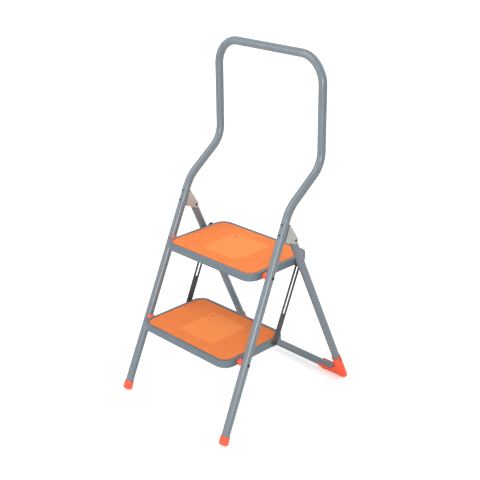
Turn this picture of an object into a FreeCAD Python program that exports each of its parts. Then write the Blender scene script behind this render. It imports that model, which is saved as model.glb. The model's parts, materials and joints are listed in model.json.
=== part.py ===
import FreeCAD, Part
import math
import os
import Sketcher

# A folding step stool, open and standing on the floor. One bent tube makes both front legs and the
# handrail. A rear frame swings on brackets behind it, and two trays with mats turn on bolts through
# the front legs. Slotted links join the trays and ride on a rod between the rear legs.
# Millimetres. X is to the right, Y runs from the front to the back, Z is up from the floor.

V = FreeCAD.Vector
X_AXIS = V(1, 0, 0)
Y_AXIS = V(0, 1, 0)
Z_AXIS = V(0, 0, 1)
DOC = FreeCAD.newDocument("StepStool")

DIMENSIONS = [
    ("tube_radius", 12.5, "front tube, outside"),
    ("tube_wall", 1.5, "wall of every tube"),
    ("front_foot_y", -274.9415, "front leg axis on the floor"),
    ("front_foot_half", 220.4, "half spacing of the front legs on the floor"),
    ("front_lean", 23.83, "degrees that the front legs lean back"),
    ("knee_half", 209.0, "half spacing of the handrail"),
    ("knee_low_height", 647.0, "corner where the legs turn further back"),
    ("knee_low_radius", 120.0, "bend at the lower knee"),
    ("knee_high_back", 419.1, "handrail behind the front feet"),
    ("knee_high_height", 746.3, "corner where the handrail turns upright"),
    ("knee_high_radius", 80.0, "bend at the upper knee"),
    ("rail_height", 1056.7, "centre of the top bar"),
    ("rail_radius", 80.0, "bend at the top corners"),
    ("cap_radius", 14.3, "front foot cup, outside"),
    ("cap_length", 26.0, "front foot cup along the leg"),
    ("cap_sole", 3.5, "closed end of the front foot cup"),
    ("cap_edge", 3.0, "rounding of the front foot cup"),
    ("cap_bevel", 1.0, "bevel round the mouth of the front foot cup"),
    ("rear_radius", 12.0, "rear leg and cross tube, outside"),
    ("rear_lean", 24.06, "degrees that the rear legs lean forward"),
    ("rear_foot_half", 215.4, "half spacing of the rear legs on the floor"),
    ("rear_tube_start", 14.0, "height of the rear leg's lower end"),
    ("rear_tube_past", 12.0, "rear leg beyond its hinge pin"),
    ("cross_height", 20.5, "cross tube axis above the floor"),
    ("cross_half", 179.0, "half length of the cross tube"),
    ("cross_edge", 3.0, "rounding of the closed ends of the cross tube"),
    ("vent_radius", 2.0, "vent hole under the cross tube"),
    ("hinge_along", 625.2, "hinge pin along the front leg"),
    ("hinge_behind", 49.1, "hinge pin behind the front leg axis"),
    ("hinge_half", 211.0, "half spacing of the rear legs at the hinge"),
    ("bracket_top", 666.5, "upper corner of the bracket along the leg"),
    ("bracket_nose", 10.2, "rounding of the bracket about the pin"),
    ("bracket_web_front", 6.0, "front edge of the bracket behind the leg axis"),
    ("bracket_web_back", 15.5, "inner face of the bracket web"),
    ("bracket_half_gap", 12.5, "half gap between the bracket ears"),
    ("bracket_sheet", 2.0, "thickness of a bracket ear"),
    ("rivet_low_along", 629.0, "lower bracket rivet along the leg"),
    ("rivet_high_along", 658.7, "upper bracket rivet along the leg"),
    ("rivet_radius", 2.5, "bracket rivet shank"),
    ("rivet_head_radius", 3.4, "bracket rivet head"),
    ("rivet_head", 1.0, "height of a bracket rivet head"),
    ("rivet_tail", 1.2, "bracket rivet past the web"),
    ("pin_radius", 3.0, "hinge pin shank"),
    ("pin_head_radius", 3.8, "hinge pin head"),
    ("pin_head", 1.1, "height of a hinge pin head"),
    ("pin_clench", 0.8, "clenched end of a hinge pin beyond its shank"),
    ("pin_tail", 1.2, "height of the clenched end"),
    ("running", 0.05, "radial clearance of a turning pin"),
    ("fit", 0.02, "radial clearance of a fixed pin"),
    ("seat", 0.1, "head of a screw off the slanting tube"),
    ("step_half_width", 188.0, "half width of a tray"),
    ("step_front", 54.5, "tray in front of its bolts"),
    ("step_back", 200.5, "tray behind its bolts"),
    ("step_corner", 38.0, "corner radius of a tray"),
    ("step_height", 22.5, "height of the tray skirt"),
    ("step_rim", 10.4, "width of the rim round the mat"),
    ("step_edge", 2.5, "rounding of the tray's upper edge"),
    ("sheet", 1.5, "thickness of the tray sheet"),
    ("flange", 8.0, "inward flange under the skirt"),
    ("flange_lap", 0.7, "flange let into the skirt"),
    ("bead_half_length", 140.0, "half length of a pressed bead"),
    ("bead_half_width", 4.0, "half width of a pressed bead"),
    ("bead_depth", 2.5, "depth of a pressed bead"),
    ("bead_first", 8.0, "first bead behind the bolts"),
    ("bead_span", 130.0, "first bead to last bead"),
    ("mat_recess", 3.2, "depth of the mat's seat"),
    ("mat_thickness", 2.8, "mat"),
    ("mat_gap", 0.4, "gap round the mat"),
    ("panel_half", 72.5, "half width of the smooth panel"),
    ("panel_front", 0.5, "panel edge behind the bolts"),
    ("panel_back", 145.5, "panel far edge behind the bolts"),
    ("panel_corner", 6.0, "corner radius of the panel"),
    ("panel_depth", 0.4, "panel below the ribbed face"),
    ("upper_step_height", 475.0, "top of the upper tray"),
    ("lower_step_height", 238.0, "top of the lower tray"),
    ("pivot_drop", 12.0, "tray bolts below the tray top"),
    ("bolt_radius", 3.0, "tray bolt shank"),
    ("bolt_head_radius", 5.0, "tray bolt head"),
    ("bolt_head", 1.8, "height of a tray bolt head"),
    ("bolt_past", 1.5, "tray bolt past its nut"),
    ("nut_radius", 5.8, "tray nut over its corners"),
    ("nut_height", 5.0, "tray nut"),
    ("spacer_small_radius", 10.2, "spacer at the tray"),
    ("spacer_large_radius", 10.8, "spacer at the leg"),
    ("spacer_round", 5.0, "rounding of the spacer at the tray"),
    ("side_gap", 0.3, "play beside a turning part"),
    ("link_behind", 147.0, "link pivot behind the tray bolts"),
    ("link_above", 4.2, "link pivot above the tray bolts"),
    ("link_radius", 11.2, "half width of a link"),
    ("link_thickness", 3.0, "link"),
    ("link_play", 0.2, "play on each side of a link"),
    ("slot_radius", 4.0, "half width of the link slot"),
    ("slot_low", 93.5, "lower slot centre above the lower pivot"),
    ("slot_high", 238.1, "upper slot centre above the lower pivot"),
    ("washer_radius", 8.0, "washer between tray and link"),
    ("washer_thickness", 2.0, "washer between tray and link"),
    ("stud_radius", 3.0, "link rivet shank"),
    ("stud_head_radius", 5.0, "link rivet head"),
    ("stud_head", 2.0, "height of a link rivet head"),
    ("rod_radius", 2.0, "support rod"),
    ("rod_below", 115.1, "support rod below the hinge pin"),
    ("sleeve_radius", 14.5, "rear foot round the leg"),
    ("sleeve_height", 87.5, "mouth of the rear foot above the floor"),
    ("trough_radius", 15.5, "rear foot round the cross tube"),
    ("trough_tip", 126.0, "inner end of the rear foot"),
    ("tip_slope", 11.5, "degrees that the inner end of the rear foot slopes"),
    ("trough_lip", 2.0, "front wall of the trough above the cross tube axis"),
    ("trough_wall", 9.0, "back wall of the trough above the cross tube axis"),
    ("toe_radius", 16.0, "rounding under the front of the rear foot"),
    ("heel_radius", 6.0, "rounding under the outer end of the rear foot"),
    ("sole_front", 1.5, "sole in front of the cross tube axis"),
    ("sole_back", 14.0, "sole behind the cross tube axis"),
    ("sole_height", 8.0, "sole block under the trough"),
    ("screw_height", 79.2, "rear foot screw above the floor"),
    ("screw_radius", 1.75, "rear foot screw shank"),
    ("screw_head_radius", 3.2, "rear foot screw head"),
    ("screw_head", 1.6, "height of a rear foot screw head"),
    ("screw_length", 8.0, "rear foot screw shank"),
]

SHEET = DOC.addObject("Spreadsheet::Sheet", "Dimensions")
for row, (alias, value, meaning) in enumerate(DIMENSIONS, start=1):
    SHEET.set("A%d" % row, meaning)
    SHEET.set("B%d" % row, str(value))
    SHEET.setAlias("B%d" % row, alias)
DOC.recompute()


def size(alias):
    """Value of one driving dimension."""
    return float(SHEET.get(alias))


def number(total):
    """Value of a sum of driving dimensions, written as words with plus and minus signs."""
    result = 0.0
    sign = 1
    for word in total.split():
        if word in ("+", "-"):
            sign = 1 if word == "+" else -1
        else:
            result += sign * size(word)
    return result


def cells(total):
    """The same sum as an expression over the sheet's cells."""
    return " ".join(word if word in ("+", "-") else "Dimensions." + word for word in total.split())


def bind(item, **sums):
    """Ties properties of an object to sums of driving dimensions."""
    for name, total in sums.items():
        item.setExpression(name, cells(total))


# Nodes of the finished stool

NODES = []


def node(label, item):
    """Marks an object as a finished piece."""
    item.Label = label
    NODES.append(item)
    return item


def mirrored(item, name):
    """The same piece on the left side."""
    twin = DOC.addObject("Part::Mirroring", name)
    twin.Source = item
    twin.Normal = X_AXIS
    return twin


def pair(label, item):
    """A right and a left piece, each a node of its own."""
    node(label + "_right", item)
    node(label + "_left", mirrored(item, label + "_mirror"))


def set_of(label, *items):
    """Equal pieces on both sides that make one node."""
    group = DOC.addObject("Part::Compound", label + "_set")
    group.Links = [*items, *(mirrored(item, item.Name + "_mirror") for item in items)]
    node(label, group)


# Plain shapes

def facing(direction):
    """Turn that brings Z onto a direction."""
    return FreeCAD.Rotation(Z_AXIS, direction)


def bar(name, radius, start, direction, length):
    """Round bar from a point along a direction."""
    item = DOC.addObject("Part::Cylinder", name)
    bind(item, Radius=radius)
    item.Height = length
    item.Placement = FreeCAD.Placement(start, facing(direction))
    return item


def fused(name, *items):
    """Several shapes made into one."""
    item = DOC.addObject("Part::MultiFuse", name)
    item.Shapes = list(items)
    return item


def cut(name, base, *tools):
    """A shape with others taken out of it."""
    item = DOC.addObject("Part::Cut", name)
    item.Base = base
    item.Tool = tools[0] if len(tools) == 1 else fused(name + "_tools", *tools)
    return item


# Sketches

def sketch(body, name, role, lift=None):
    """Sketch on one of a body's own planes, lifted off it by a sum of dimensions."""
    item = body.newObject("Sketcher::SketchObject", name)
    plane = next(datum for datum in body.Origin.OriginFeatures if datum.Role == role)
    item.AttachmentSupport = [(plane, "")]
    item.MapMode = "FlatFace"
    if lift:
        item.setExpression("AttachmentOffset.Base.z", cells(lift))
    return item


def dimension(item, total, *constraint):
    """Driving dimension of a sketch, tied to a sum of cells."""
    index = item.addConstraint(Sketcher.Constraint(*constraint, number(total)))
    item.setExpression("Constraints[%d]" % index, cells(total))


def circle(item, radius, across=None, up=None):
    """Circle about a point that lies across and up from the sketch's origin."""
    centre = V(number(across or ""), number(up or ""), 0)
    ring = item.addGeometry(Part.Circle(centre, Z_AXIS, number(radius)))
    dimension(item, radius, "Radius", ring)
    for total, kind, axis in ((across, "DistanceX", -2), (up, "DistanceY", -1)):
        if total:
            dimension(item, total, kind, -1, 1, ring, 3)
        else:
            item.addConstraint(Sketcher.Constraint("PointOnObject", ring, 3, axis))


def rounded_rectangle(item, half_width, front, back, radius):
    """Rectangle with round corners, even about the sketch's upright axis."""
    w, f, b, r = (number(total) for total in (half_width, front, back, radius))
    corners = [(w, -f, -90), (w, b, 0), (-w, b, 90), (-w, -f, 180)]
    arcs = []
    for x, y, start in corners:
        centre = V(x - math.copysign(r, x), y - r if y == b else y + r, 0)
        whole = Part.Circle(centre, Z_AXIS, r)
        quarter = Part.ArcOfCircle(whole, math.radians(start), math.radians(start + 90))
        arcs.append(item.addGeometry(quarter))
    sides = []
    for arc, following in zip(arcs, arcs[1:] + arcs[:1]):
        ends = item.Geometry[arc].EndPoint, item.Geometry[following].StartPoint
        side = item.addGeometry(Part.LineSegment(*ends))
        sides.append(side)
        item.addConstraint(Sketcher.Constraint("Tangent", arc, 2, side, 1))
        item.addConstraint(Sketcher.Constraint("Tangent", side, 2, following, 1))
    for side, kind in zip(sides, ("Vertical", "Horizontal", "Vertical", "Horizontal")):
        item.addConstraint(Sketcher.Constraint(kind, side))
    for arc in arcs[1:]:
        item.addConstraint(Sketcher.Constraint("Equal", arcs[0], arc))
    dimension(item, radius, "Radius", arcs[0])
    dimension(item, half_width, "DistanceX", -1, 1, sides[0], 1)
    dimension(item, half_width, "DistanceX", sides[2], 1, -1, 1)
    dimension(item, back, "DistanceY", -1, 1, sides[1], 1)
    dimension(item, front, "DistanceY", sides[3], 1, -1, 1)


def stadium(item, radius, low, high):
    """Slot outline that stands on the sketch's upright axis."""
    r = number(radius)
    arcs = []
    for height, start in ((low, 180), (high, 0)):
        whole = Part.Circle(V(0, height, 0), Z_AXIS, r)
        half = Part.ArcOfCircle(whole, math.radians(start), math.radians(start + 180))
        arcs.append(item.addGeometry(half))
    for arc, following in ((arcs[0], arcs[1]), (arcs[1], arcs[0])):
        ends = item.Geometry[arc].EndPoint, item.Geometry[following].StartPoint
        side = item.addGeometry(Part.LineSegment(*ends))
        item.addConstraint(Sketcher.Constraint("Tangent", arc, 2, side, 1))
        item.addConstraint(Sketcher.Constraint("Tangent", side, 2, following, 1))
    item.addConstraint(Sketcher.Constraint("Equal", arcs[0], arcs[1]))
    dimension(item, radius, "Radius", arcs[0])
    for arc, height in zip(arcs, (low, high)):
        item.addConstraint(Sketcher.Constraint("PointOnObject", arc, 3, -2))
        item.addConstraint(Sketcher.Constraint("DistanceY", -1, 1, arc, 3, height))


def trace(item, start, *steps):
    """Closed outline. A step of two numbers is straight, one of four is an arc by way of a point."""
    here = V(*start, 0)
    for step in steps:
        there = V(*step[-2:], 0)
        if len(step) == 2:
            item.addGeometry(Part.LineSegment(here, there))
        else:
            item.addGeometry(Part.Arc(here, V(*step[:2], 0), there))
        here = there
    if not here.isEqual(V(*start, 0), 0.001):
        item.addGeometry(Part.LineSegment(here, V(*start, 0)))


# Features of a body

def new_body(name):
    return DOC.addObject("PartDesign::Body", name)


def pad(body, profile, length, **options):
    """Material added along a profile's normal."""
    item = body.newObject("PartDesign::Pad", profile.Name + "_pad")
    item.Profile = profile
    bind(item, Length=length)
    for name, value in options.items():
        setattr(item, name, value)
    return item


def pocket(body, profile, depth, **options):
    """Material taken away against a profile's normal."""
    item = body.newObject("PartDesign::Pocket", profile.Name + "_pocket")
    item.Profile = profile
    bind(item, Length=depth)
    for name, value in options.items():
        setattr(item, name, value)
    return item


def through(body, profile):
    """Hole right through a body, both ways from its profile."""
    item = body.newObject("PartDesign::Pocket", profile.Name + "_hole")
    item.Profile = profile
    item.SideType = "Symmetric"
    item.Type = "ThroughAll"
    return item


def turned(name, start, *steps):
    """Body turned about its own Z axis from an outline of radius and height."""
    body = new_body(name)
    profile = sketch(body, name + "_profile", "XZ_Plane")
    trace(profile, start, *steps)
    item = body.newObject("PartDesign::Revolution", name + "_turn")
    item.Profile = profile
    item.ReferenceAxis = (profile, ["V_Axis"])
    item.Angle = 360
    return body


def dome(radius, low, high):
    """Step of an outline that rises from a rim to the axis as part of a ball."""
    rise = high - low
    ball = (radius ** 2 + rise ** 2) / (2 * rise)
    half_angle = math.asin(radius / ball) / 2
    return (ball * math.sin(half_angle), high - ball * (1 - math.cos(half_angle)), 0, high)


def headed(name, shank, length, head_radius, head):
    """Domed head on a shank. The head sits on the plane Z = 0 and the shank runs below it."""
    r, big, tall = number(shank), number(head_radius), number(head)
    lip = tall / 4
    return turned(name, (0, -length), (r, -length), (r, 0), (big, 0), (big, lip), dome(big, lip, tall))


def place(item, start, direction):
    """Stands a piece on a point with its Z axis along a direction."""
    item.Placement = FreeCAD.Placement(start, facing(direction))
    return item


def tube(name, radius, start, end):
    """Straight tube between two points."""
    body = new_body(name)
    profile = sketch(body, name + "_profile", "XY_Plane")
    circle(profile, radius)
    circle(profile, radius + " - tube_wall")
    item = body.newObject("PartDesign::Pad", name + "_pad")
    item.Profile = profile
    item.Length = (end - start).Length
    return place(body, start, end - start)


# Lines of the stool

LEAN = math.radians(size("front_lean"))
REAR_LEAN = math.radians(size("rear_lean"))
ALONG = V(0, math.sin(LEAN), math.cos(LEAN))
BEHIND = V(0, math.cos(LEAN), -math.sin(LEAN))
LEG_TURN = FreeCAD.Rotation(X_AXIS, -size("front_lean"))


def leg_point(along):
    """Point of the right front leg's axis, measured up the leg as seen from the side."""
    height = along * math.cos(LEAN)
    share = height / size("knee_low_height")
    half = size("front_foot_half") + (size("knee_half") - size("front_foot_half")) * share
    return V(half, size("front_foot_y") + along * math.sin(LEAN), height)


LEG = (leg_point(1) - leg_point(0)).normalize()
HINGE = V(size("hinge_half"), size("front_foot_y"), 0)
HINGE += ALONG * size("hinge_along") + BEHIND * size("hinge_behind")
REAR_FLOOR = V(size("rear_foot_half"), HINGE.y + HINGE.z * math.tan(REAR_LEAN), 0)
REAR = (HINGE - REAR_FLOOR).normalize()


def rear_point(height):
    """Point of the right rear leg's axis at a height above the floor."""
    return REAR_FLOOR + REAR * (height / REAR.z)


def step_bolt(top):
    """Axis of the tray bolts at the right front leg."""
    return leg_point((size(top) - size("pivot_drop")) / math.cos(LEAN))


UPPER_BOLT = step_bolt("upper_step_height")
LOWER_BOLT = step_bolt("lower_step_height")
STEP_SIDE = size("step_half_width")


def link_pivot(bolt, x):
    """Pivot of a link beside a tray, at a distance from the middle of the stool."""
    return V(x, bolt.y + size("link_behind"), bolt.z + size("link_above"))


# Front frame

CAP_TILT = math.acos(LEG.z)
CAP_REST = size("cap_edge") * (1 - LEG.z) + (size("cap_radius") - size("cap_edge")) * math.sin(CAP_TILT)
CAP_END = leg_point(CAP_REST / math.cos(LEAN))
TUBE_START = CAP_END + LEG * size("cap_sole")


def bent_wire(points, radii):
    """Straight runs between points, with an arc in place of each inner corner."""
    edges = []
    here = points[0]
    for before, corner, after, radius in zip(points, points[1:], points[2:], radii):
        back = (before - corner).normalize()
        onward = (after - corner).normalize()
        half_angle = back.getAngle(onward) / 2
        reach = radius / math.tan(half_angle)
        middle = corner + (back + onward).normalize() * (radius / math.sin(half_angle) - radius)
        arc_start = corner + back * reach
        arc_end = corner + onward * reach
        edges.append(Part.LineSegment(here, arc_start).toShape())
        edges.append(Part.Arc(arc_start, middle, arc_end).toShape())
        here = arc_end
    edges.append(Part.LineSegment(here, points[-1]).toShape())
    return Part.Wire(edges)


def front_path():
    """Centre line from the right foot over the handrail to the left foot."""
    rail_y = size("front_foot_y") + size("knee_high_back")
    right = [
        TUBE_START,
        leg_point(size("knee_low_height") / math.cos(LEAN)),
        V(size("knee_half"), rail_y, size("knee_high_height")),
        V(size("knee_half"), rail_y, size("rail_height")),
    ]
    left = [V(-point.x, point.y, point.z) for point in reversed(right)]
    bends = [size("knee_low_radius"), size("knee_high_radius"), size("rail_radius")]
    item = DOC.addObject("Part::Feature", "front_path")
    item.Shape = bent_wire(right + left, bends + bends[::-1])
    return item


def swept(name, path, radius):
    """Round bar along a path that starts at the right foot."""
    ring = DOC.addObject("Part::Circle", name + "_ring")
    bind(ring, Radius=radius)
    place(ring, TUBE_START, LEG)
    item = DOC.addObject("Part::Sweep", name)
    item.Sections = [ring]
    item.Spine = (path, ["Edge%d" % (i + 1) for i in range(len(path.Shape.Edges))])
    item.Solid = True
    item.Frenet = False
    return item


def both_sides(name, radius, start, direction, length):
    """The same bar on the right and on the left."""
    right = bar(name, radius, start, direction, length)
    return right, mirrored(right, name + "_mirror")


def front_frame():
    path = front_path()
    outside = swept("front_outside", path, "tube_radius")
    inside = swept("front_inside", path, "tube_radius - tube_wall")
    wide = 4 * size("tube_radius")
    holes = []
    for name, bolt in (("upper", UPPER_BOLT), ("lower", LOWER_BOLT)):
        start = bolt - X_AXIS * (wide / 2)
        holes += both_sides("leg_hole_" + name, "bolt_radius + running", start, X_AXIS, wide)
    for name in ("low", "high"):
        start = leg_point(size("rivet_%s_along" % name)) - BEHIND * (wide / 2)
        holes += both_sides("rivet_hole_" + name, "rivet_radius + fit", start, BEHIND, wide)
    hollow = cut("front_hollow", outside, inside)
    node("front_frame_tube", cut("front_drilled", hollow, *holes))


def front_feet():
    big, edge, bevel = size("cap_radius"), size("cap_edge"), size("cap_bevel")
    bore = number("tube_radius + fit")
    sole, top = size("cap_sole"), size("cap_length")
    turn = edge * (1 - math.sqrt(0.5))
    cap = turned(
        "front_cap", (0, 0), (big - edge, 0), (big - turn, turn, big, edge), (big, top - bevel),
        (big - bevel, top), (bore, top), (bore, sole), (0, sole))
    pair("front_foot", place(cap, CAP_END, LEG))


def bracket_outline(profile):
    """Side of a bracket, distance behind the leg across and distance along the leg up."""
    behind, along, nose = size("hinge_behind"), size("hinge_along"), size("bracket_nose")
    front, top = size("bracket_web_front"), size("bracket_top")
    slope = math.atan2(top - along, front - behind)
    slope -= math.acos(nose / math.hypot(front - behind, top - along))
    touch = (behind + nose * math.cos(slope), along + nose * math.sin(slope))
    turn = (slope - math.pi / 2) / 2
    middle = (behind + nose * math.cos(turn), along + nose * math.sin(turn))
    trace(profile, (front, along - nose), (front, top), touch, (*middle, behind, along - nose))


def brackets():
    body = new_body("bracket")
    profile = sketch(body, "bracket_side", "YZ_Plane")
    bracket_outline(profile)
    pad(body, profile, "bracket_half_gap + bracket_half_gap + bracket_sheet + bracket_sheet",
        SideType="Symmetric")
    channel = sketch(body, "bracket_channel", "XY_Plane")
    half, web = size("bracket_half_gap"), size("bracket_web_back")
    far = number("hinge_behind + bracket_nose + bracket_nose")
    trace(channel, (-half, web), (half, web), (half, far), (-half, far))
    through(body, channel)
    pin_hole = sketch(body, "bracket_pin_hole", "YZ_Plane")
    circle(pin_hole, "pin_radius + fit", "hinge_behind", "hinge_along")
    through(body, pin_hole)
    foot = V(size("hinge_half"), size("front_foot_y"), 0)
    body.Placement = FreeCAD.Placement(foot, LEG_TURN)
    seat = bar("bracket_seat", "tube_radius + fit", TUBE_START, LEG, size("knee_low_height") * 2)
    wide = 4 * size("tube_radius")
    holes = []
    for name in ("low", "high"):
        start = leg_point(size("rivet_%s_along" % name))
        holes.append(bar("bracket_hole_" + name, "rivet_radius + fit", start, BEHIND, wide / 2))
    pair("hinge_bracket", cut("bracket_cut", body, seat, *holes))


def bracket_rivets():
    rivets = []
    reach = number("tube_radius + bracket_web_back + rivet_tail")
    for name in ("low", "high"):
        rivet = headed("rivet_" + name, "rivet_radius", reach, "rivet_head_radius", "rivet_head")
        start = leg_point(size("rivet_%s_along" % name)) - BEHIND * size("tube_radius")
        rivets.append(place(rivet, start, -BEHIND))
    set_of("bracket_rivets", *rivets)


def hinge_pins():
    """Pin through both ears, domed outside and clenched inside."""
    half = number("bracket_half_gap + bracket_sheet")
    r, big, tall = size("pin_radius"), size("pin_head_radius"), size("pin_head")
    clench, tail = number("pin_radius + pin_clench"), half + size("pin_tail")
    pin = turned(
        "pin", (0, -tail), (r, -tail), (clench, -half), (r, -half), (r, half),
        (big, half), (big, half + tall / 4), dome(big, half + tall / 4, half + tall))
    pair("hinge_pin", place(pin, HINGE, X_AXIS))


# Bolts on which the trays turn

def step_fixings(label, bolt):
    """Spacers, bolts and nuts of one tray."""
    side = V(STEP_SIDE + size("side_gap"), bolt.y, bolt.z)
    outside = bolt + X_AXIS * number("tube_radius + seat")
    nut_face = STEP_SIDE - number("sheet + side_gap")
    nut_end = nut_face - size("nut_height")

    small, soft = size("spacer_small_radius"), size("spacer_round")
    turn = soft * (1 - math.sqrt(0.5))
    reach = bolt.x - side.x - size("tube_radius") / 2
    cone = turned(
        label + "_cone", (0, 0), (small - soft, 0), (small - turn, turn, small, soft),
        (size("spacer_large_radius"), reach), (0, reach))
    place(cone, side, X_AXIS)
    leg = bar(label + "_leg", "tube_radius + fit", TUBE_START, LEG, size("knee_low_height") * 2)
    bore = bar(label + "_bore", "bolt_radius + fit", V(0, bolt.y, bolt.z), X_AXIS, outside.x)
    pair("step_spacer_" + label, cut(label + "_spacer", cone, leg, bore))

    length = outside.x - nut_end + size("bolt_past")
    screw = headed(label + "_bolt", "bolt_radius", length, "bolt_head_radius", "bolt_head")
    set_of(label + "_step_bolts", place(screw, outside, X_AXIS))

    prism = DOC.addObject("Part::Prism", label + "_prism")
    prism.Polygon = 6
    bind(prism, Circumradius="nut_radius", Height="nut_height")
    place(prism, V(nut_end, bolt.y, bolt.z), X_AXIS)
    thread = bar(label + "_thread", "bolt_radius + fit", V(0, bolt.y, bolt.z), X_AXIS, outside.x)
    set_of(label + "_step_nuts", cut(label + "_nut", prism, thread))


# Rear frame

SCREW_AXIS = rear_point(size("screw_height"))
ROD_AXIS = HINGE - REAR * (size("rod_below") / math.hypot(REAR.y, REAR.z))
CROSS = rear_point(size("cross_height"))


def rear_legs():
    start = rear_point(size("rear_tube_start"))
    leg = tube("rear_tube", "rear_radius", start, HINGE + REAR * size("rear_tube_past"))
    wide = 4 * size("rear_radius")
    pin = bar("rear_pin_hole", "pin_radius + running", HINGE - X_AXIS * wide / 2, X_AXIS, wide)
    rod = bar("rear_rod_hole", "rod_radius + fit", ROD_AXIS - X_AXIS * wide / 2, X_AXIS, wide / 2)
    screw = bar("rear_screw_hole", "screw_radius + fit", SCREW_AXIS, X_AXIS, wide / 2)
    pair("rear_leg", cut("rear_drilled", leg, pin, rod, screw))


def rear_bars():
    """Cross tube between the feet and the rod on which the links rest."""
    half, edge, wall = size("cross_half"), size("cross_edge"), size("tube_wall")
    big, bore = size("rear_radius"), number("rear_radius - tube_wall")
    turn = edge * (1 - math.sqrt(0.5))
    closed = turned(
        "cross_bar", (0, -half), (big - edge, -half), (big - turn, turn - half, big, edge - half),
        (big, half - edge), (big - turn, half - turn, big - edge, half), (0, half), (0, half - wall),
        (big - edge, half - wall), (bore, half - edge), (bore, edge - half), (big - edge, wall - half),
        (0, wall - half))
    middle = V(0, CROSS.y, CROSS.z)
    vent = bar("cross_vent", "vent_radius", middle, -Z_AXIS, 2 * big)
    node("cross_tube", cut("cross_vented", place(closed, middle, X_AXIS), vent))
    inside = ROD_AXIS.x - number("rear_radius - tube_wall")
    start = V(-inside, ROD_AXIS.y, ROD_AXIS.z)
    node("support_rod", bar("rod_bar", "rod_radius", start, X_AXIS, 2 * inside))


def rear_feet():
    """Sleeve round the leg with an open trough under the end of the cross tube, rounded at the toe."""
    wide = 4 * size("rear_radius")
    mouth = rear_point(size("sleeve_height"))
    below = REAR_FLOOR - REAR * wide
    sleeve = bar("foot_sleeve", "sleeve_radius", below, REAR, (mouth - below).Length)

    trough = new_body("foot_trough")
    profile = sketch(trough, "trough_end", "YZ_Plane")
    r, bore = size("trough_radius"), number("rear_radius + fit")
    lip, wall = size("trough_lip"), size("trough_wall")
    trace(profile, (-r, lip), (-r, 0), (0, -r, r, 0), (r, wall), (bore, wall), (bore, lip))
    pad(trough, profile, "rear_foot_half - trough_tip")
    trough.Placement.Base = V(size("trough_tip"), CROSS.y, CROSS.z)

    sole = DOC.addObject("Part::Box", "foot_sole")
    bind(sole, Length="rear_foot_half - trough_tip", Width="sole_front + sole_back", Height="sole_height")
    sole.Placement.Base = V(size("trough_tip"), CROSS.y - size("sole_front"), 0)

    toe = new_body("foot_toe")
    corner = sketch(toe, "toe_corner", "YZ_Plane")
    big, front = size("toe_radius"), size("sole_front")
    turn = math.acos(front / big)
    middle = (-big * math.cos(turn / 2), -big * math.sin(turn / 2))
    low = -big * math.sin(turn)
    trace(corner, (-big, 0), (*middle, -front, low), (-front, -wide), (-wide, -wide), (-wide, 0))
    pad(toe, corner, "rear_foot_half")
    toe.Placement.Base = V(size("trough_tip") - wide, CROSS.y, CROSS.z)

    heel = new_body("foot_heel")
    corner = sketch(heel, "heel_corner", "XZ_Plane")
    big = size("heel_radius")
    turn = big * (1 - math.sqrt(0.5))
    trace(corner, (-big, 0), (-turn, turn, 0, big), (wide, big), (wide, -wide), (-big, -wide))
    pad(heel, corner, "rear_foot_half", SideType="Symmetric")
    heel.Placement.Base = V(number("rear_foot_half + sleeve_radius"), CROSS.y, 0)

    tip = DOC.addObject("Part::Box", "foot_tip")
    tip.Length, tip.Width, tip.Height = wide, 4 * wide, 4 * wide
    slope = FreeCAD.Rotation(Y_AXIS, -size("tip_slope"))
    tip_top = V(size("trough_tip"), CROSS.y, CROSS.z + wall)
    tip.Placement = FreeCAD.Placement(tip_top + slope.multVec(V(-wide, -2 * wide, -2 * wide)), slope)

    floor = DOC.addObject("Part::Box", "foot_floor")
    floor.Length, floor.Width, floor.Height = 4 * wide, 4 * wide, 2 * wide
    floor.Placement.Base = V(size("trough_tip") - wide, CROSS.y - 2 * wide, -2 * wide)
    start = rear_point(size("rear_tube_start"))
    bore = bar("foot_bore", "rear_radius + fit", start, REAR, 4 * wide)
    seat = bar("foot_seat", "rear_radius + fit", V(0, CROSS.y, CROSS.z), X_AXIS, number("cross_half + fit"))
    screw = bar("foot_screw_hole", "screw_radius + fit", SCREW_AXIS, X_AXIS, wide)
    whole = fused("foot_whole", sleeve, trough, sole)
    pair("rear_foot", cut("foot_cut", whole, toe, heel, tip, floor, bore, seat, screw))

    head = headed("foot_screw", "screw_radius", size("screw_length"), "screw_head_radius", "screw_head")
    set_of("rear_foot_screws", place(head, SCREW_AXIS + X_AXIS * number("sleeve_radius + seat"), X_AXIS))


# Steps

def edges_at(feature, height):
    """Names of a feature's edges that lie flat at a height."""
    names = []
    for index, edge in enumerate(feature.Shape.Edges, start=1):
        box = edge.BoundBox
        if abs(box.ZMin - height) < 0.001 and abs(box.ZMax - height) < 0.001:
            names.append("Edge%d" % index)
    return names


def inset(profile, by):
    """Outline of a tray moved inwards by a sum of dimensions."""
    less = " - " + by.replace("+", "-")
    rounded_rectangle(
        profile, "step_half_width" + less, "step_front" + less, "step_back" + less, "step_corner" + less)


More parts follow.
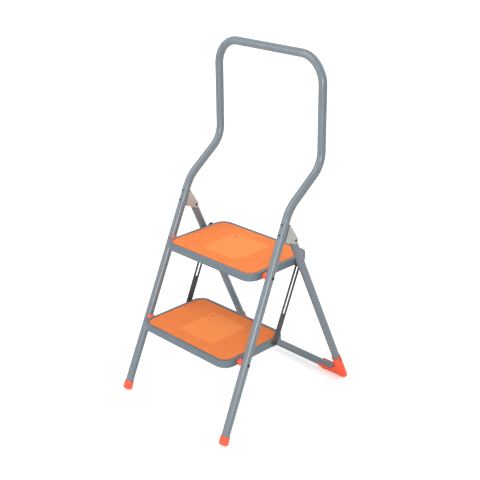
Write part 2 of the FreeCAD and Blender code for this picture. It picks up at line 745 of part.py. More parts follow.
def tray(label, bolt):
    """Pressed tray with its top at the body's zero and its bolts below the origin."""
    body = new_body(label + "_tray")
    outline = sketch(body, label + "_outline", "XY_Plane")
    rounded_rectangle(outline, "step_half_width", "step_front", "step_back", "step_corner")
    block = pad(body, outline, "step_height", Reversed=True)
    DOC.recompute()
    edge = body.newObject("PartDesign::Fillet", label + "_edge")
    edge.Base = (block, edges_at(block, 0))
    bind(edge, Radius="step_edge")

    seat = sketch(body, label + "_seat", "XY_Plane")
    inset(seat, "step_rim")
    pocket(body, seat, "mat_recess")
    cavity = sketch(body, label + "_cavity", "XY_Plane", "- step_height")
    inset(cavity, "sheet")
    pocket(body, cavity, "step_height - mat_recess - sheet", Reversed=True)
    channel = sketch(body, label + "_channel", "XY_Plane", "- step_height")
    inset(channel, "sheet")
    less = " - step_rim + sheet"
    rounded_rectangle(
        channel, "step_half_width" + less, "step_front" + less, "step_back" + less, "step_corner" + less)
    pocket(body, channel, "step_height - sheet", Reversed=True)
    lip = sketch(body, label + "_lip", "XY_Plane", "- step_height")
    inset(lip, "flange_lap")
    inset(lip, "sheet + flange")
    pad(body, lip, "sheet")

    for name, radius, back, up in (
        ("bolt", "bolt_radius + running", None, "- pivot_drop"),
        ("stud", "stud_radius + fit", "link_behind", "link_above - pivot_drop"),
    ):
        hole = sketch(body, label + "_" + name, "YZ_Plane")
        circle(hole, radius, back, up)
        through(body, hole)

    bead = sketch(body, label + "_bead", "XY_Plane", "- mat_recess - sheet")
    half, wide, first = size("bead_half_length"), size("bead_half_width"), size("bead_first")
    trace(
        bead, (-half, first - wide), (half, first - wide), (half + wide, first, half, first + wide),
        (-half, first + wide), (-half - wide, first, -half, first - wide))
    ridge = pad(body, bead, "bead_depth", Reversed=True)
    ridges = body.newObject("PartDesign::LinearPattern", label + "_beads")
    ridges.Originals = [ridge]
    ridges.Direction = (bead, ["V_Axis"])
    bind(ridges, Length="bead_span")
    ridges.Occurrences = 5
    body.Tip = ridges
    body.Placement.Base = V(0, bolt.y, bolt.z + size("pivot_drop"))
    node(label + "_tray", body)


def mat(label, bolt):
    """Mat that fills a tray, with a smooth panel sunk in its middle."""
    body = new_body(label + "_mat")
    outline = sketch(body, label + "_mat_outline", "XY_Plane", "- mat_recess")
    inset(outline, "step_rim + mat_gap")
    pad(body, outline, "mat_thickness")
    panel = sketch(body, label + "_panel", "XY_Plane", "mat_thickness - mat_recess")
    low, high = number("panel_front + panel_corner"), number("panel_back - panel_corner")
    front, back = size("panel_front"), size("panel_back")
    wide, near = size("panel_half"), number("panel_half - panel_corner")
    turn = size("panel_corner") * (1 - math.sqrt(0.5))
    trace(
        panel, (-near, front), (near, front), (wide - turn, front + turn, wide, low), (wide, high),
        (wide - turn, back - turn, near, back), (-near, back), (turn - wide, back - turn, -wide, high),
        (-wide, low), (turn - wide, front + turn, -near, front))
    pocket(body, panel, "panel_depth")
    body.Placement.Base = V(0, bolt.y, bolt.z + size("pivot_drop"))
    node(label + "_mat", body)


def link_studs(label, bolt):
    """Rivets and washers that carry the links on one tray."""
    washer = new_body(label + "_washer")
    profile = sketch(washer, label + "_washer_ring", "XY_Plane")
    circle(profile, "washer_radius")
    circle(profile, "stud_radius + fit")
    pad(washer, profile, "washer_thickness")
    place(washer, link_pivot(bolt, STEP_SIDE), X_AXIS)
    set_of(label + "_link_washers", washer)

    r, big, tall = size("stud_radius"), size("stud_head_radius"), size("stud_head")
    shank = number("sheet + washer_thickness + link_thickness + link_play + link_play")
    stud = turned(
        label + "_stud", (0, -tall), (big - tall / 4, -tall), (big, -tall / 2), (big, 0), (r, 0), (r, shank),
        (big, shank), (big, shank + tall / 4), dome(big, shank + tall / 4, shank + tall))
    inside = link_pivot(bolt, STEP_SIDE - size("sheet"))
    set_of(label + "_link_rivets", place(stud, inside, X_AXIS))


def links():
    """Slotted flat bars that keep both trays level and ride on the support rod."""
    span = (UPPER_BOLT.z - LOWER_BOLT.z) / math.cos(LEAN)
    body = new_body("link_bar")
    outline = sketch(body, "link_outline", "YZ_Plane")
    stadium(outline, "link_radius", 0, span)
    stadium(outline, "slot_radius", size("slot_low"), size("slot_high"))
    pad(body, outline, "link_thickness")
    holes = sketch(body, "link_holes", "YZ_Plane")
    circle(holes, "stud_radius + running")
    far = holes.addGeometry(Part.Circle(V(0, span, 0), Z_AXIS, number("stud_radius + running")))
    holes.addConstraint(Sketcher.Constraint("Equal", 0, far))
    through(body, holes)
    x = STEP_SIDE + number("washer_thickness + link_play")
    body.Placement = FreeCAD.Placement(link_pivot(LOWER_BOLT, x), LEG_TURN)
    pair("link", body)


front_frame()
front_feet()
brackets()
bracket_rivets()
hinge_pins()
for label, bolt in (("upper", UPPER_BOLT), ("lower", LOWER_BOLT)):
    step_fixings(label, bolt)
    tray(label, bolt)
    mat(label, bolt)
    link_studs(label, bolt)
links()
rear_legs()
rear_bars()
rear_feet()
DOC.recompute()

for item in DOC.Objects:
    if "Invalid" in item.State or "Error" in item.State:
        raise RuntimeError("%s could not be built: %s" % (item.Name, item.State))
    if item.isDerivedFrom("Part::Feature") and (item.Shape.isNull() or not item.Shape.isValid()):
        raise RuntimeError("%s has no sound shape" % item.Name)

os.makedirs("parts", exist_ok=True)
for item in NODES:
    item.Shape.exportStep("parts/%s.step" % item.Label)
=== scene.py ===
"""Looks of a folding step stool with a bent handrail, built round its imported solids."""

import json
import math

import bmesh
import bpy
from mathutils import Matrix, Vector


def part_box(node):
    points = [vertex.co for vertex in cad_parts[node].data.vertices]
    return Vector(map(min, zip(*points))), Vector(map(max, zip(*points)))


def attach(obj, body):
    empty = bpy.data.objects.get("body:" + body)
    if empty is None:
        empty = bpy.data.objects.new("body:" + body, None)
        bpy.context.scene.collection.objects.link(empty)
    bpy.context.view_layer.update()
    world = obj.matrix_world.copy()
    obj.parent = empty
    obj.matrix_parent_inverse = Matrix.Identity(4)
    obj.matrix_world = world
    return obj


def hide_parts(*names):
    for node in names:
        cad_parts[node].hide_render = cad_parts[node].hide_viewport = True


bl_info = {
    "name": "Folding Step Stool",
    "version": (1, 0, 0),
    "blender": (4, 5, 0),
    "location": "View3D > Sidebar > Stool",
    "description": "Builds the visible pieces of a folding step stool round its solids",
    "category": "Object",
}

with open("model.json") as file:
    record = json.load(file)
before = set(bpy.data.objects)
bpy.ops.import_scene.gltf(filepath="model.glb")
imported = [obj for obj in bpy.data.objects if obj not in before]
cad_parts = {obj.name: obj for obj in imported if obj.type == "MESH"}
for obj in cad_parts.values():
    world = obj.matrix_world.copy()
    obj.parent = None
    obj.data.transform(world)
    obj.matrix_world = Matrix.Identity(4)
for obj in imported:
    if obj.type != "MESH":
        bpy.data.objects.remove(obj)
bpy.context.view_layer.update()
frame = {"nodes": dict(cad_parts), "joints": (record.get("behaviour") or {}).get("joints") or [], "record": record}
MM = 0.001
ACROSS = Vector((1, 0, 0))
UPRIGHT = Vector((0, 0, 1))
SIDES = {"left": -1, "right": 1}
STEPS = ("upper", "lower")
IMAGE_SIDE = 480


# Sizes and colours

def linear(code):
    """Linear colour of an sRGB hex value."""
    channels = [int(code[i:i + 2], 16) / 255 for i in (0, 2, 4)]
    bent = [c / 12.92 if c <= 0.04045 else ((c + 0.055) / 1.055) ** 2.4 for c in channels]
    return (*bent, 1.0)


def length(name, description, millimetres):
    """Property that holds a length."""
    return bpy.props.FloatProperty(
        name=name, description=description, default=millimetres * MM, unit="LENGTH", precision=5)


def colour(name, description, code):
    """Property that holds a colour."""
    return bpy.props.FloatVectorProperty(
        name=name, description=description, default=linear(code), size=4, subtype="COLOR", min=0, max=1)


def angle(name, description, degrees):
    """Property that holds an angle."""
    return bpy.props.FloatProperty(
        name=name, description=description, default=math.radians(degrees), subtype="ANGLE")


def power(name, watts):
    """Property that holds the power of a lamp."""
    return bpy.props.FloatProperty(
        name=name, description="Power of the %s light in watts" % name.lower(), default=watts)


class StoolTubes(bpy.types.PropertyGroup):
    front_radius: length("Front Radius", "Outside radius of the front tube", 12.5)
    rear_radius: length("Rear Radius", "Outside radius of the rear legs and the cross tube", 12)
    wall: length("Wall", "Wall of every tube", 1.5)
    foot_half: length("Foot Half Spacing", "Front leg axis from the middle, on the floor", 220.4)
    rail_half: length("Rail Half Spacing", "Handrail axis from the middle", 209)
    low_knee: length("Low Knee", "Height of the corner where the legs turn back", 647)
    high_knee: length("High Knee", "Height of the corner where the handrail turns up", 746.3)
    low_bend: length("Low Bend", "Bend radius at the low knee", 120)
    high_bend: length("High Bend", "Bend radius at the high knee", 80)
    rail_bend: length("Rail Bend", "Bend radius at the top corners", 80)
    rear_foot_half: length("Rear Foot Half Spacing", "Rear leg axis from the middle, on the floor", 215.4)
    hinge_half: length("Hinge Half Spacing", "Rear leg axis from the middle, at the hinge", 211)
    end_round: length("End Rounding", "Rounding of the closed ends of the cross tube", 9)


class StoolTrays(bpy.types.PropertyGroup):
    corner: length("Corner", "Corner radius of a tray", 38)
    rim: length("Rim", "Width of the rim round the mat", 10.4)
    recess: length("Recess", "Depth of the mat's seat", 3.2)
    edge: length("Edge", "Bend along the tray's upper edge", 2.5)
    sheet: length("Sheet", "Thickness of the pressed sheet", 1.5)
    flange: length("Flange", "Inward flange under the skirt", 8)
    bead_length: length("Bead Length", "Length of a stiffening bead under the tray", 288)
    bead_width: length("Bead Width", "Width of a stiffening bead", 8)
    bead_depth: length("Bead Depth", "Depth of a stiffening bead", 2.5)
    bead_first: length("First Bead", "First bead behind the bolts", 8)
    bead_pitch: length("Bead Pitch", "Spacing of the beads", 32.5)
    bead_count: bpy.props.IntProperty(
        name="Beads", description="Number of beads under a tray", default=5, min=1)


class StoolMats(bpy.types.PropertyGroup):
    gap: length("Gap", "Gap between the rim and the mat", 0.4)
    pitch_across: length("Pitch Across", "Spacing of the studs from side to side", 9.06)
    pitch_deep: length("Pitch Deep", "Spacing of the studs from front to back", 8.53)
    groove_across: length("Groove Across", "Groove between studs side by side", 0.6)
    groove_deep: length("Groove Deep", "Groove between rows of studs", 2)
    stud_height: length("Stud Height", "Height of the studs", 0.9)
    border: length("Border", "Plain border round the studs", 1.2)
    overhang: length("Overhang", "How far past the border the middle of a trimmed stud may lie", 0.9)
    panel_half: length("Panel Half Width", "Half width of the smooth panel", 72.5)
    panel_front: length("Panel Front", "Front edge of the panel behind the bolts", 0.5)
    panel_back: length("Panel Back", "Back edge of the panel behind the bolts", 145.5)
    panel_corner: length("Panel Corner", "Corner radius of the panel", 6)
    panel_drop: length("Panel Drop", "Panel below the tops of the studs", 0.15)
    gate_x: length("Gate Across", "Moulding gate from the middle", -56)
    gate_back: length("Gate Back", "Moulding gate behind the bolts", 128)
    gate_radius: length("Gate Radius", "Radius of the moulding gate", 4)


class StoolLinks(bpy.types.PropertyGroup):
    half_width: length("Half Width", "Half width of a link", 11.2)
    slot_half: length("Slot Half Width", "Half width of the slot", 4)
    slot_low: length("Slot Low", "Lower slot centre above the lower pivot", 93.5)
    slot_high: length("Slot High", "Upper slot centre above the lower pivot", 238.1)
    bevel: length("Bevel", "Broken edge of the strip", 0.5)


class StoolFittings(bpy.types.PropertyGroup):
    cup_radius: length("Cup Radius", "Outside radius of a front foot cup", 14.3)
    cup_length: length("Cup Length", "Front foot cup along the leg", 26)
    cup_sole: length("Cup Sole", "Closed end of a front foot cup", 3.5)
    spacer_small: length("Spacer Small", "Radius of a spacer near the tray", 10.2)
    spacer_large: length("Spacer Large", "Radius of a spacer at the leg", 10.8)
    spacer_round: length("Spacer Rounding", "Rounding of a spacer at the tray", 5)
    rivet_low: length("Low Rivet", "Lower bracket rivet along the leg", 629)
    rivet_high: length("High Rivet", "Upper bracket rivet along the leg", 658.7)
    screw_height: length("Screw Height", "Rear foot screw above the floor", 79.2)
    sleeve_radius: length("Sleeve Radius", "Rear foot round the leg", 14.5)
    heel_round: length("Heel Rounding", "Rounding of a rear foot at the floor", 10)


class StoolFinishes(bpy.types.PropertyGroup):
    frame_grey: colour("Frame", "Powder coat of the tubes", "747D84")
    tray_grey: colour("Trays", "Powder coat of the trays", "66727B")
    mat_orange: colour("Mats", "Rubber of the mats", "F58A45")
    foot_coral: colour("Feet", "Moulded feet and spacers", "FA5A36")
    plate_grey: colour("Brackets", "Plated hinge brackets", "C4C2BE")
    link_black: colour("Links", "Lacquered links and washers", "3A3A3C")
    fastener_black: colour("Fasteners", "Blackened fasteners", "161617")
    rod_zinc: colour("Rod", "Plated support rod", "B9BBBD")


class StoolStage(bpy.types.PropertyGroup):
    camera_place: bpy.props.FloatVectorProperty(
        name="Camera", description="Place of the camera", default=(1.9364, -1.8667, 1.6221), subtype="XYZ")
    azimuth: angle("Azimuth", "Camera round the stool", 45.72)
    elevation: angle("Elevation", "Camera above the horizon", 22.76)
    roll: angle("Roll", "Turn of the camera about its view", -0.70)
    lens: bpy.props.FloatProperty(name="Lens", description="Focal length in millimetres", default=72.67)
    ambient: bpy.props.FloatProperty(name="Ambient", description="Strength of the even light", default=0.6)
    top_power: power("Top", 36)
    key_power: power("Key", 14)
    fill_power: power("Fill", 50)
    back_power: power("Back", 20)


# Lines of the stool, read from the frame

PIVOTS = {joint["name"]: Vector(joint["pos_m"]) for joint in frame["joints"]}
HINGE = PIVOTS["rear_frame_hinge"]
STEP_BOLTS = {step: PIVOTS[step + "_step_hinge"] for step in STEPS}
RISE = STEP_BOLTS["upper"] - STEP_BOLTS["lower"]
LINK_LOW = PIVOTS["link_right_pivot"]
LEAN = math.atan2(RISE.y, RISE.z)
ALONG = Vector((0, math.sin(LEAN), math.cos(LEAN)))
BEHIND = Vector((0, math.cos(LEAN), -math.sin(LEAN)))


def corners(node):
    """Lowest and highest corner of a solid's box."""
    return tuple(Vector(corner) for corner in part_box(node))


def middle(node):
    """Centre of a solid's box."""
    low, high = corners(node)
    return (low + high) / 2


def sided(point, sign):
    """Point or direction on the right, or its mirror image on the left."""
    return Vector((sign * point.x, point.y, point.z))


CROSS = middle("cross_tube")


def front_leg(tubes, height):
    """Point of the right front leg's axis."""
    share = height / tubes.low_knee
    half = tubes.foot_half + (tubes.rail_half - tubes.foot_half) * share
    bolt = STEP_BOLTS["upper"]
    return Vector((half, bolt.y + (height - bolt.z) * math.tan(LEAN), height))


def rear_leg(tubes, height):
    """Point of the right rear leg's axis."""
    share = height / HINGE.z
    half = tubes.rear_foot_half + (tubes.hinge_half - tubes.rear_foot_half) * share
    back = (height - HINGE.z) / (CROSS.z - HINGE.z)
    return Vector((half, HINGE.y + (CROSS.y - HINGE.y) * back, height))


def direction(line, tubes):
    """Direction of a leg."""
    return (line(tubes, 1) - line(tubes, 0)).normalized()


def tube_start(tubes):
    """Lower end of the right front leg's axis."""
    low, _ = corners("front_frame_tube")
    tilt = math.sqrt(1 - direction(front_leg, tubes).z ** 2)
    return front_leg(tubes, low.z + tubes.front_radius * tilt)


# Nodes

def add(tree, kind, inputs=None, **settings):
    """Node of a tree with its settings, and values or links for its inputs."""
    node = tree.nodes.new(kind)
    for name, value in settings.items():
        setattr(node, name, value)
    for key, value in (inputs or {}).items():
        socket = node.inputs[key]
        for item in value if isinstance(value, list) else [value]:
            if isinstance(item, bpy.types.NodeSocket):
                tree.links.new(item, socket)
            else:
                socket.default_value = item
    return node


def new_tree(name, **inputs):
    """Geometry tree with named inputs, its input node and a function that closes it."""
    tree = bpy.data.node_groups.new(name, "GeometryNodeTree")
    tree.interface.new_socket("Geometry", in_out="INPUT", socket_type="NodeSocketGeometry")
    for label, kind in inputs.items():
        tree.interface.new_socket(label.replace("_", " "), in_out="INPUT", socket_type="NodeSocket" + kind)
    tree.interface.new_socket("Material", in_out="INPUT", socket_type="NodeSocketMaterial")
    tree.interface.new_socket("Geometry", in_out="OUTPUT", socket_type="NodeSocketGeometry")
    given = add(tree, "NodeGroupInput").outputs

    def close(geometry):
        real = add(tree, "GeometryNodeRealizeInstances", {"Geometry": geometry})
        coated = add(
            tree, "GeometryNodeSetMaterial", {"Geometry": real.outputs[0], "Material": given["Material"]})
        add(tree, "NodeGroupOutput", {"Geometry": coated.outputs[0]})
        return tree

    return tree, given, close


def settle(item):
    """Keeps what an object's modifiers make as its plain mesh."""
    graph = bpy.context.evaluated_depsgraph_get()
    mesh = bpy.data.meshes.new_from_object(item.evaluated_get(graph))
    item.modifiers.clear()
    item.data = mesh


def grow(item, tree, **values):
    """Adds a geometry tree to an object with its inputs set."""
    modifier = item.modifiers.new(tree.name, "NODES")
    modifier.node_group = tree
    sockets = {
        entry.name: entry.identifier for entry in tree.interface.items_tree
        if entry.item_type == "SOCKET" and entry.in_out == "INPUT"}
    for name, value in values.items():
        modifier[sockets[name.replace("_", " ")]] = value


# Pieces

def stand(name, mesh):
    """Object at the origin of the scene."""
    item = bpy.data.objects.new(name, mesh)
    bpy.context.scene.collection.objects.link(item)
    return item


def clear_away(item):
    """Takes a helper object out of the file."""
    bpy.data.objects.remove(item)


def soften(mesh, degrees=32):
    """Smooth shading with sharp edges where faces meet at a steep angle."""
    mesh.shade_smooth()
    mesh.set_sharp_from_angle(angle=math.radians(degrees))


def even_out(item):
    """Keeps flat faces flat where they meet small rounded edges."""
    weighted = item.modifiers.new("flats", "WEIGHTED_NORMAL")
    weighted.keep_sharp = True
    settle(item)


def coat(mesh, material):
    """Gives a mesh its one material."""
    mesh.materials.clear()
    mesh.materials.append(material)


def fit(item, body, slot, *nodes):
    """Hands a finished piece over to its body in place of its solids."""
    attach(item, body)
    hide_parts(*nodes)


def as_mesh(name, shape):
    """Mesh of a shape that is done."""
    mesh = bpy.data.meshes.new(name)
    shape.to_mesh(mesh)
    shape.free()
    return mesh


def closed_mesh(name, shape):
    """Mesh of a closed shape with its faces outward."""
    bmesh.ops.remove_doubles(shape, verts=shape.verts, dist=0.0005 * MM)
    bmesh.ops.recalc_face_normals(shape, faces=shape.faces)
    return as_mesh(name, shape)


def arc(centre, radius, start, end, steps=6):
    """Points of an arc in a section, from one angle to another in degrees."""
    turns = [math.radians(start + (end - start) * i / steps) for i in range(steps + 1)]
    return [(centre[0] + radius * math.cos(t), centre[1] + radius * math.sin(t)) for t in turns]


def skin(name, rings):
    """Closed mesh over rings of points, with a face in the first and in the last ring."""
    shape = bmesh.new()
    made = [[shape.verts.new(point) for point in ring] for ring in rings]
    for low, high in zip(made, made[1:]):
        count = max(len(low), len(high))
        for i in range(count):
            j = (i + 1) % count
            around = (low[i % len(low)], low[j % len(low)], high[j % len(high)], high[i % len(high)])
            shape.faces.new(list(dict.fromkeys(around)))
    for ring in (made[0], made[-1]):
        if len(ring) > 2:
            shape.faces.new(ring)
    return closed_mesh(name, shape)


def lathe(name, profile, steps=48):
    """Mesh turned about Z from points of radius and height."""
    rings = []
    for radius, height in profile:
        turns = range(steps if radius > 0 else 1)
        rings.append([
            (radius * math.cos(math.tau * i / steps), radius * math.sin(math.tau * i / steps), height)
            for i in turns])
    return skin(name, rings)


def aimed(start, axis):
    """Place on a point with Z along a direction."""
    return Matrix.Translation(start) @ axis.to_track_quat("Z", "Y").to_matrix().to_4x4()


def turned(name, profile, steps, start, axis, material, body, slot, node):
    """Piece turned about an axis, in place of its solid."""
    mesh = lathe(name, profile, steps)
    mesh.transform(aimed(start, axis))
    coat(mesh, material)
    soften(mesh)
    fit(stand(name, mesh), body, slot, node)


def flat_bar(name, outlines, thickness, bevel, steps=2):
    """Flat plate cut to closed outlines, with broken edges, lying on the plane Z = 0."""
    curve = bpy.data.curves.new(name, "CURVE")
    curve.dimensions = "2D"
    curve.fill_mode = "BOTH"
    curve.extrude = thickness / 2 - bevel
    curve.bevel_depth = bevel
    curve.bevel_resolution = steps
    curve.offset = -bevel
    for outline in outlines:
        spline = curve.splines.new("POLY")
        spline.points.add(len(outline) - 1)
        for point, (x, y) in zip(spline.points, outline):
            point.co = (x, y, 0, 1)
        spline.use_cyclic_u = True
    helper = stand(name, curve)
    graph = bpy.context.evaluated_depsgraph_get()
    mesh = bpy.data.meshes.new_from_object(helper.evaluated_get(graph))
    clear_away(helper)
    shape = bmesh.new()
    shape.from_mesh(mesh)
    return closed_mesh(name, shape)


def stadium(half_width, low, high, steps=24):
    """Outline of a slot that stands on the Y axis."""
    return arc((0, low), half_width, 180, 360, steps) + arc((0, high), half_width, 0, 180, steps)


def rounded(low, high, corner, steps=12):
    """Outline of a rectangle with round corners."""
    points = []
    left, right, near, far = low[0] + corner, high[0] - corner, low[1] + corner, high[1] - corner
    for centre, start in (((right, far), 0), ((left, far), 90), ((left, near), 180), ((right, near), 270)):
        points += arc(centre, corner, start, start + 90, steps)
    return points


def ring_inside(low, high, corner, inset, height):
    """Ring of points at a height, set in from a rectangle with round corners."""
    outline = rounded((low.x + inset, low.y + inset), (high.x - inset, high.y - inset), corner - inset, 16)
    return [(x, y, height) for x, y in outline]


# Materials

def tinted(rgba, share):
    """A colour made lighter or darker."""
    return (*(min(channel * share, 1.0) for channel in rgba[:3]), 1.0)


def finish(name):
    """New node material with its tree, its shader and object coordinates in metres."""
    material = bpy.data.materials.new(name)
    material.use_nodes = True
    tree = material.node_tree
    place = add(tree, "ShaderNodeTexCoord").outputs["Object"]
    return material, tree, tree.nodes["Principled BSDF"], place


def powder_coat(name, rgba, roughness):
    # Polyester powder coat, sprayed on steel and baked: an even satin grey with a soft orange peel.
    # The peel is drawn at 5 mm, about twice its real pitch, so that it still shows in the render.
    material, tree, shader, place = finish(name)
    drift = add(tree, "ShaderNodeTexNoise", {"Vector": place, "Scale": 1 / (60 * MM), "Detail": 2.0})
    paint = add(
        tree, "ShaderNodeMix", {0: drift.outputs["Fac"], 6: tinted(rgba, 0.94), 7: tinted(rgba, 1.05)},
        data_type="RGBA")
    tree.links.new(paint.outputs[2], shader.inputs["Base Color"])
    patch = add(tree, "ShaderNodeTexNoise", {"Vector": place, "Scale": 1 / (14 * MM), "Detail": 2.0})
    satin = add(
        tree, "ShaderNodeMapRange",
        {"Value": patch.outputs["Fac"], "To Min": roughness - 0.03, "To Max": roughness + 0.04})
    tree.links.new(satin.outputs["Result"], shader.inputs["Roughness"])
    shader.inputs["IOR"].default_value = 1.5
    peel = add(tree, "ShaderNodeTexNoise", {"Vector": place, "Scale": 1 / (5 * MM), "Detail": 1.0})
    bump = add(
        tree, "ShaderNodeBump", {"Height": peel.outputs["Fac"], "Distance": 0.05 * MM, "Strength": 0.3})
    tree.links.new(bump.outputs["Normal"], shader.inputs["Normal"])
    return material


def mat_rubber(name, rgba):
    # Moulded thermoplastic rubber: matt orange with a fine grain. Its colour carries painted light and shade: a
    # painted lightening on the smooth panel, painted shade down in the grooves and the stud sides, and the darkest
    # painted shade on the moulding gate, for a small dimple there.
    material, tree, shader, place = finish(name)
    raised = add(tree, "ShaderNodeAttribute", attribute_name="raised")
    depth = add(tree, "ShaderNodeValToRGB", {"Fac": raised.outputs["Fac"]})
    stops = depth.color_ramp.elements
    # Painted shade: the gate is the darkest stop, standing in for the shade of a small dimple.
    stops[0].color = (rgba[0] * 0.5, rgba[1] * 0.36, rgba[2] * 0.3, 1)
    # Painted light: the smooth panel is lighter than the tops of the studs.
    stops[1].color = tinted(rgba, 1.06)
    # Painted shade: the grooves and the roots of the studs are darker than the stud tops, and the stud sides shade
    # between them.
    groove = stops.new(0.35)
    groove.color = (rgba[0] * 0.72, rgba[1] * 0.56, rgba[2] * 0.45, 1)
    top = stops.new(0.8)
    top.color = tuple(rgba)
    drift = add(tree, "ShaderNodeTexNoise", {"Vector": place, "Scale": 1 / (45 * MM), "Detail": 2.0})
    shade = add(tree, "ShaderNodeMapRange", {"Value": drift.outputs["Fac"], "To Min": 0.95, "To Max": 1.04})
    rubber = add(
        tree, "ShaderNodeVectorMath", {0: depth.outputs["Color"], "Scale": shade.outputs["Result"]},
        operation="SCALE")
    tree.links.new(rubber.outputs[0], shader.inputs["Base Color"])
    patch = add(tree, "ShaderNodeTexNoise", {"Vector": place, "Scale": 1 / (6 * MM), "Detail": 2.0})
    matt = add(tree, "ShaderNodeMapRange", {"Value": patch.outputs["Fac"], "To Min": 0.66, "To Max": 0.8})
    tree.links.new(matt.outputs["Result"], shader.inputs["Roughness"])
    shader.inputs["IOR"].default_value = 1.45
    speck = add(tree, "ShaderNodeTexNoise", {"Vector": place, "Scale": 1 / (1.6 * MM), "Detail": 3.0})
    bump = add(
        tree, "ShaderNodeBump", {"Height": speck.outputs["Fac"], "Distance": 0.06 * MM, "Strength": 0.3})
    tree.links.new(bump.outputs["Normal"], shader.inputs["Normal"])
    return material


def moulded_plastic(name, rgba):
    # Injection moulded polypropylene: bright coral, smooth with a low gloss and faint flow marks.
    material, tree, shader, place = finish(name)
    drawn = add(tree, "ShaderNodeMapping", {"Vector": place, "Scale": (1, 1, 0.25)})
    flow = add(tree, "ShaderNodeTexNoise", {"Vector": drawn.outputs[0], "Scale": 1 / (9 * MM), "Detail": 2.0})
    resin = add(
        tree, "ShaderNodeMix", {0: flow.outputs["Fac"], 6: tinted(rgba, 0.95), 7: tinted(rgba, 1.04)},
        data_type="RGBA")
    tree.links.new(resin.outputs[2], shader.inputs["Base Color"])
    gloss = add(tree, "ShaderNodeMapRange", {"Value": flow.outputs["Fac"], "To Min": 0.34, "To Max": 0.44})
    tree.links.new(gloss.outputs["Result"], shader.inputs["Roughness"])
    shader.inputs["IOR"].default_value = 1.49
    spark = add(tree, "ShaderNodeTexNoise", {"Vector": place, "Scale": 1 / (1.5 * MM), "Detail": 3.0})
    bump = add(
        tree, "ShaderNodeBump", {"Height": spark.outputs["Fac"], "Distance": 0.03 * MM, "Strength": 0.3})
    tree.links.new(bump.outputs["Normal"], shader.inputs["Normal"])
    return material


def plated_steel(name, rgba, roughness):
    # Zinc plated steel sheet: pale satin metal with a spangle of slightly different patches.
    material, tree, shader, place = finish(name)
    spangle = add(tree, "ShaderNodeTexVoronoi", {"Vector": place, "Scale": 1 / (7 * MM)})
    patch = add(tree, "ShaderNodeSeparateColor", {"Color": spangle.outputs["Color"]}).outputs[0]
    zinc = add(
        tree, "ShaderNodeMix", {0: patch, 6: tinted(rgba, 0.93), 7: tinted(rgba, 1.04)}, data_type="RGBA")
    tree.links.new(zinc.outputs[2], shader.inputs["Base Color"])
    satin = add(
        tree, "ShaderNodeMapRange", {"Value": patch, "To Min": roughness - 0.06, "To Max": roughness + 0.08})
    tree.links.new(satin.outputs["Result"], shader.inputs["Roughness"])
    shader.inputs["Metallic"].default_value = 1.0
    rolled = add(tree, "ShaderNodeTexNoise", {"Vector": place, "Scale": 1 / (2.5 * MM), "Detail": 2.0})
    bump = add(
        tree, "ShaderNodeBump", {"Height": rolled.outputs["Fac"], "Distance": 0.03 * MM, "Strength": 0.25})
    tree.links.new(bump.outputs["Normal"], shader.inputs["Normal"])
    return material


def black_steel(name, rgba, roughness):
    # Black lacquer on steel: dark grey with a dull sheen, a little greyer and smoother where it is rubbed.
    material, tree, shader, place = finish(name)
    rub = add(tree, "ShaderNodeTexNoise", {"Vector": place, "Scale": 1 / (12 * MM), "Detail": 4.0})
    lacquer = add(
        tree, "ShaderNodeMix", {0: rub.outputs["Fac"], 6: tinted(rgba, 0.75), 7: tinted(rgba, 1.35)},
        data_type="RGBA")
    tree.links.new(lacquer.outputs[2], shader.inputs["Base Color"])
    sheen = add(
        tree, "ShaderNodeMapRange",
        {"Value": rub.outputs["Fac"], "To Min": roughness + 0.06, "To Max": roughness - 0.06})
    tree.links.new(sheen.outputs["Result"], shader.inputs["Roughness"])
    shader.inputs["IOR"].default_value = 1.5
    coarse = add(tree, "ShaderNodeTexNoise", {"Vector": place, "Scale": 1 / (2 * MM), "Detail": 2.0})
    bump = add(
        tree, "ShaderNodeBump", {"Height": coarse.outputs["Fac"], "Distance": 0.03 * MM, "Strength": 0.3})
    tree.links.new(bump.outputs["Normal"], shader.inputs["Normal"])
    return material


def materials():
    """Finish of each slot of the record, made once."""
    ready = bpy.context.scene.stool_finishes
    made = bpy.data.materials
    if "polyester_powder_coat_grey" not in made:
        powder_coat("polyester_powder_coat_grey", ready.frame_grey, roughness=0.24)
        powder_coat("polyester_powder_coat_slate", ready.tray_grey, roughness=0.42)
        mat_rubber("moulded_rubber_orange", ready.mat_orange)
        moulded_plastic("moulded_polypropylene_coral", ready.foot_coral)
        plated_steel("zinc_plated_sheet", ready.plate_grey, roughness=0.4)
        plated_steel("zinc_plated_rod", ready.rod_zinc, roughness=0.3)
        black_steel("black_lacquered_strip", ready.link_black, roughness=0.42)
        black_steel("blackened_fasteners", ready.fastener_black, roughness=0.4)
    return {
        "frame_tube": made["polyester_powder_coat_grey"],
        "tray_sheet": made["polyester_powder_coat_slate"],
        "mat": made["moulded_rubber_orange"],
        "foot": made["moulded_polypropylene_coral"],
        "spacer": made["moulded_polypropylene_coral"],
        "bracket": made["zinc_plated_sheet"],
        "link": made["black_lacquered_strip"],
        "fastener": made["blackened_fasteners"],
        "rod": made["zinc_plated_rod"],
    }


class STOOL_OT_finishes(bpy.types.Operator):
    """Gives every solid that stays in view its finish"""
    bl_idname = "stool.finishes"
    bl_label = "Finishes"

    def execute(self, context):
        table = materials()
        for part in frame["record"]["subparts"]:
            coat(frame["nodes"][part["node"]].data, table[part["material_slot"]])
        return {"FINISHED"}


# Tubes

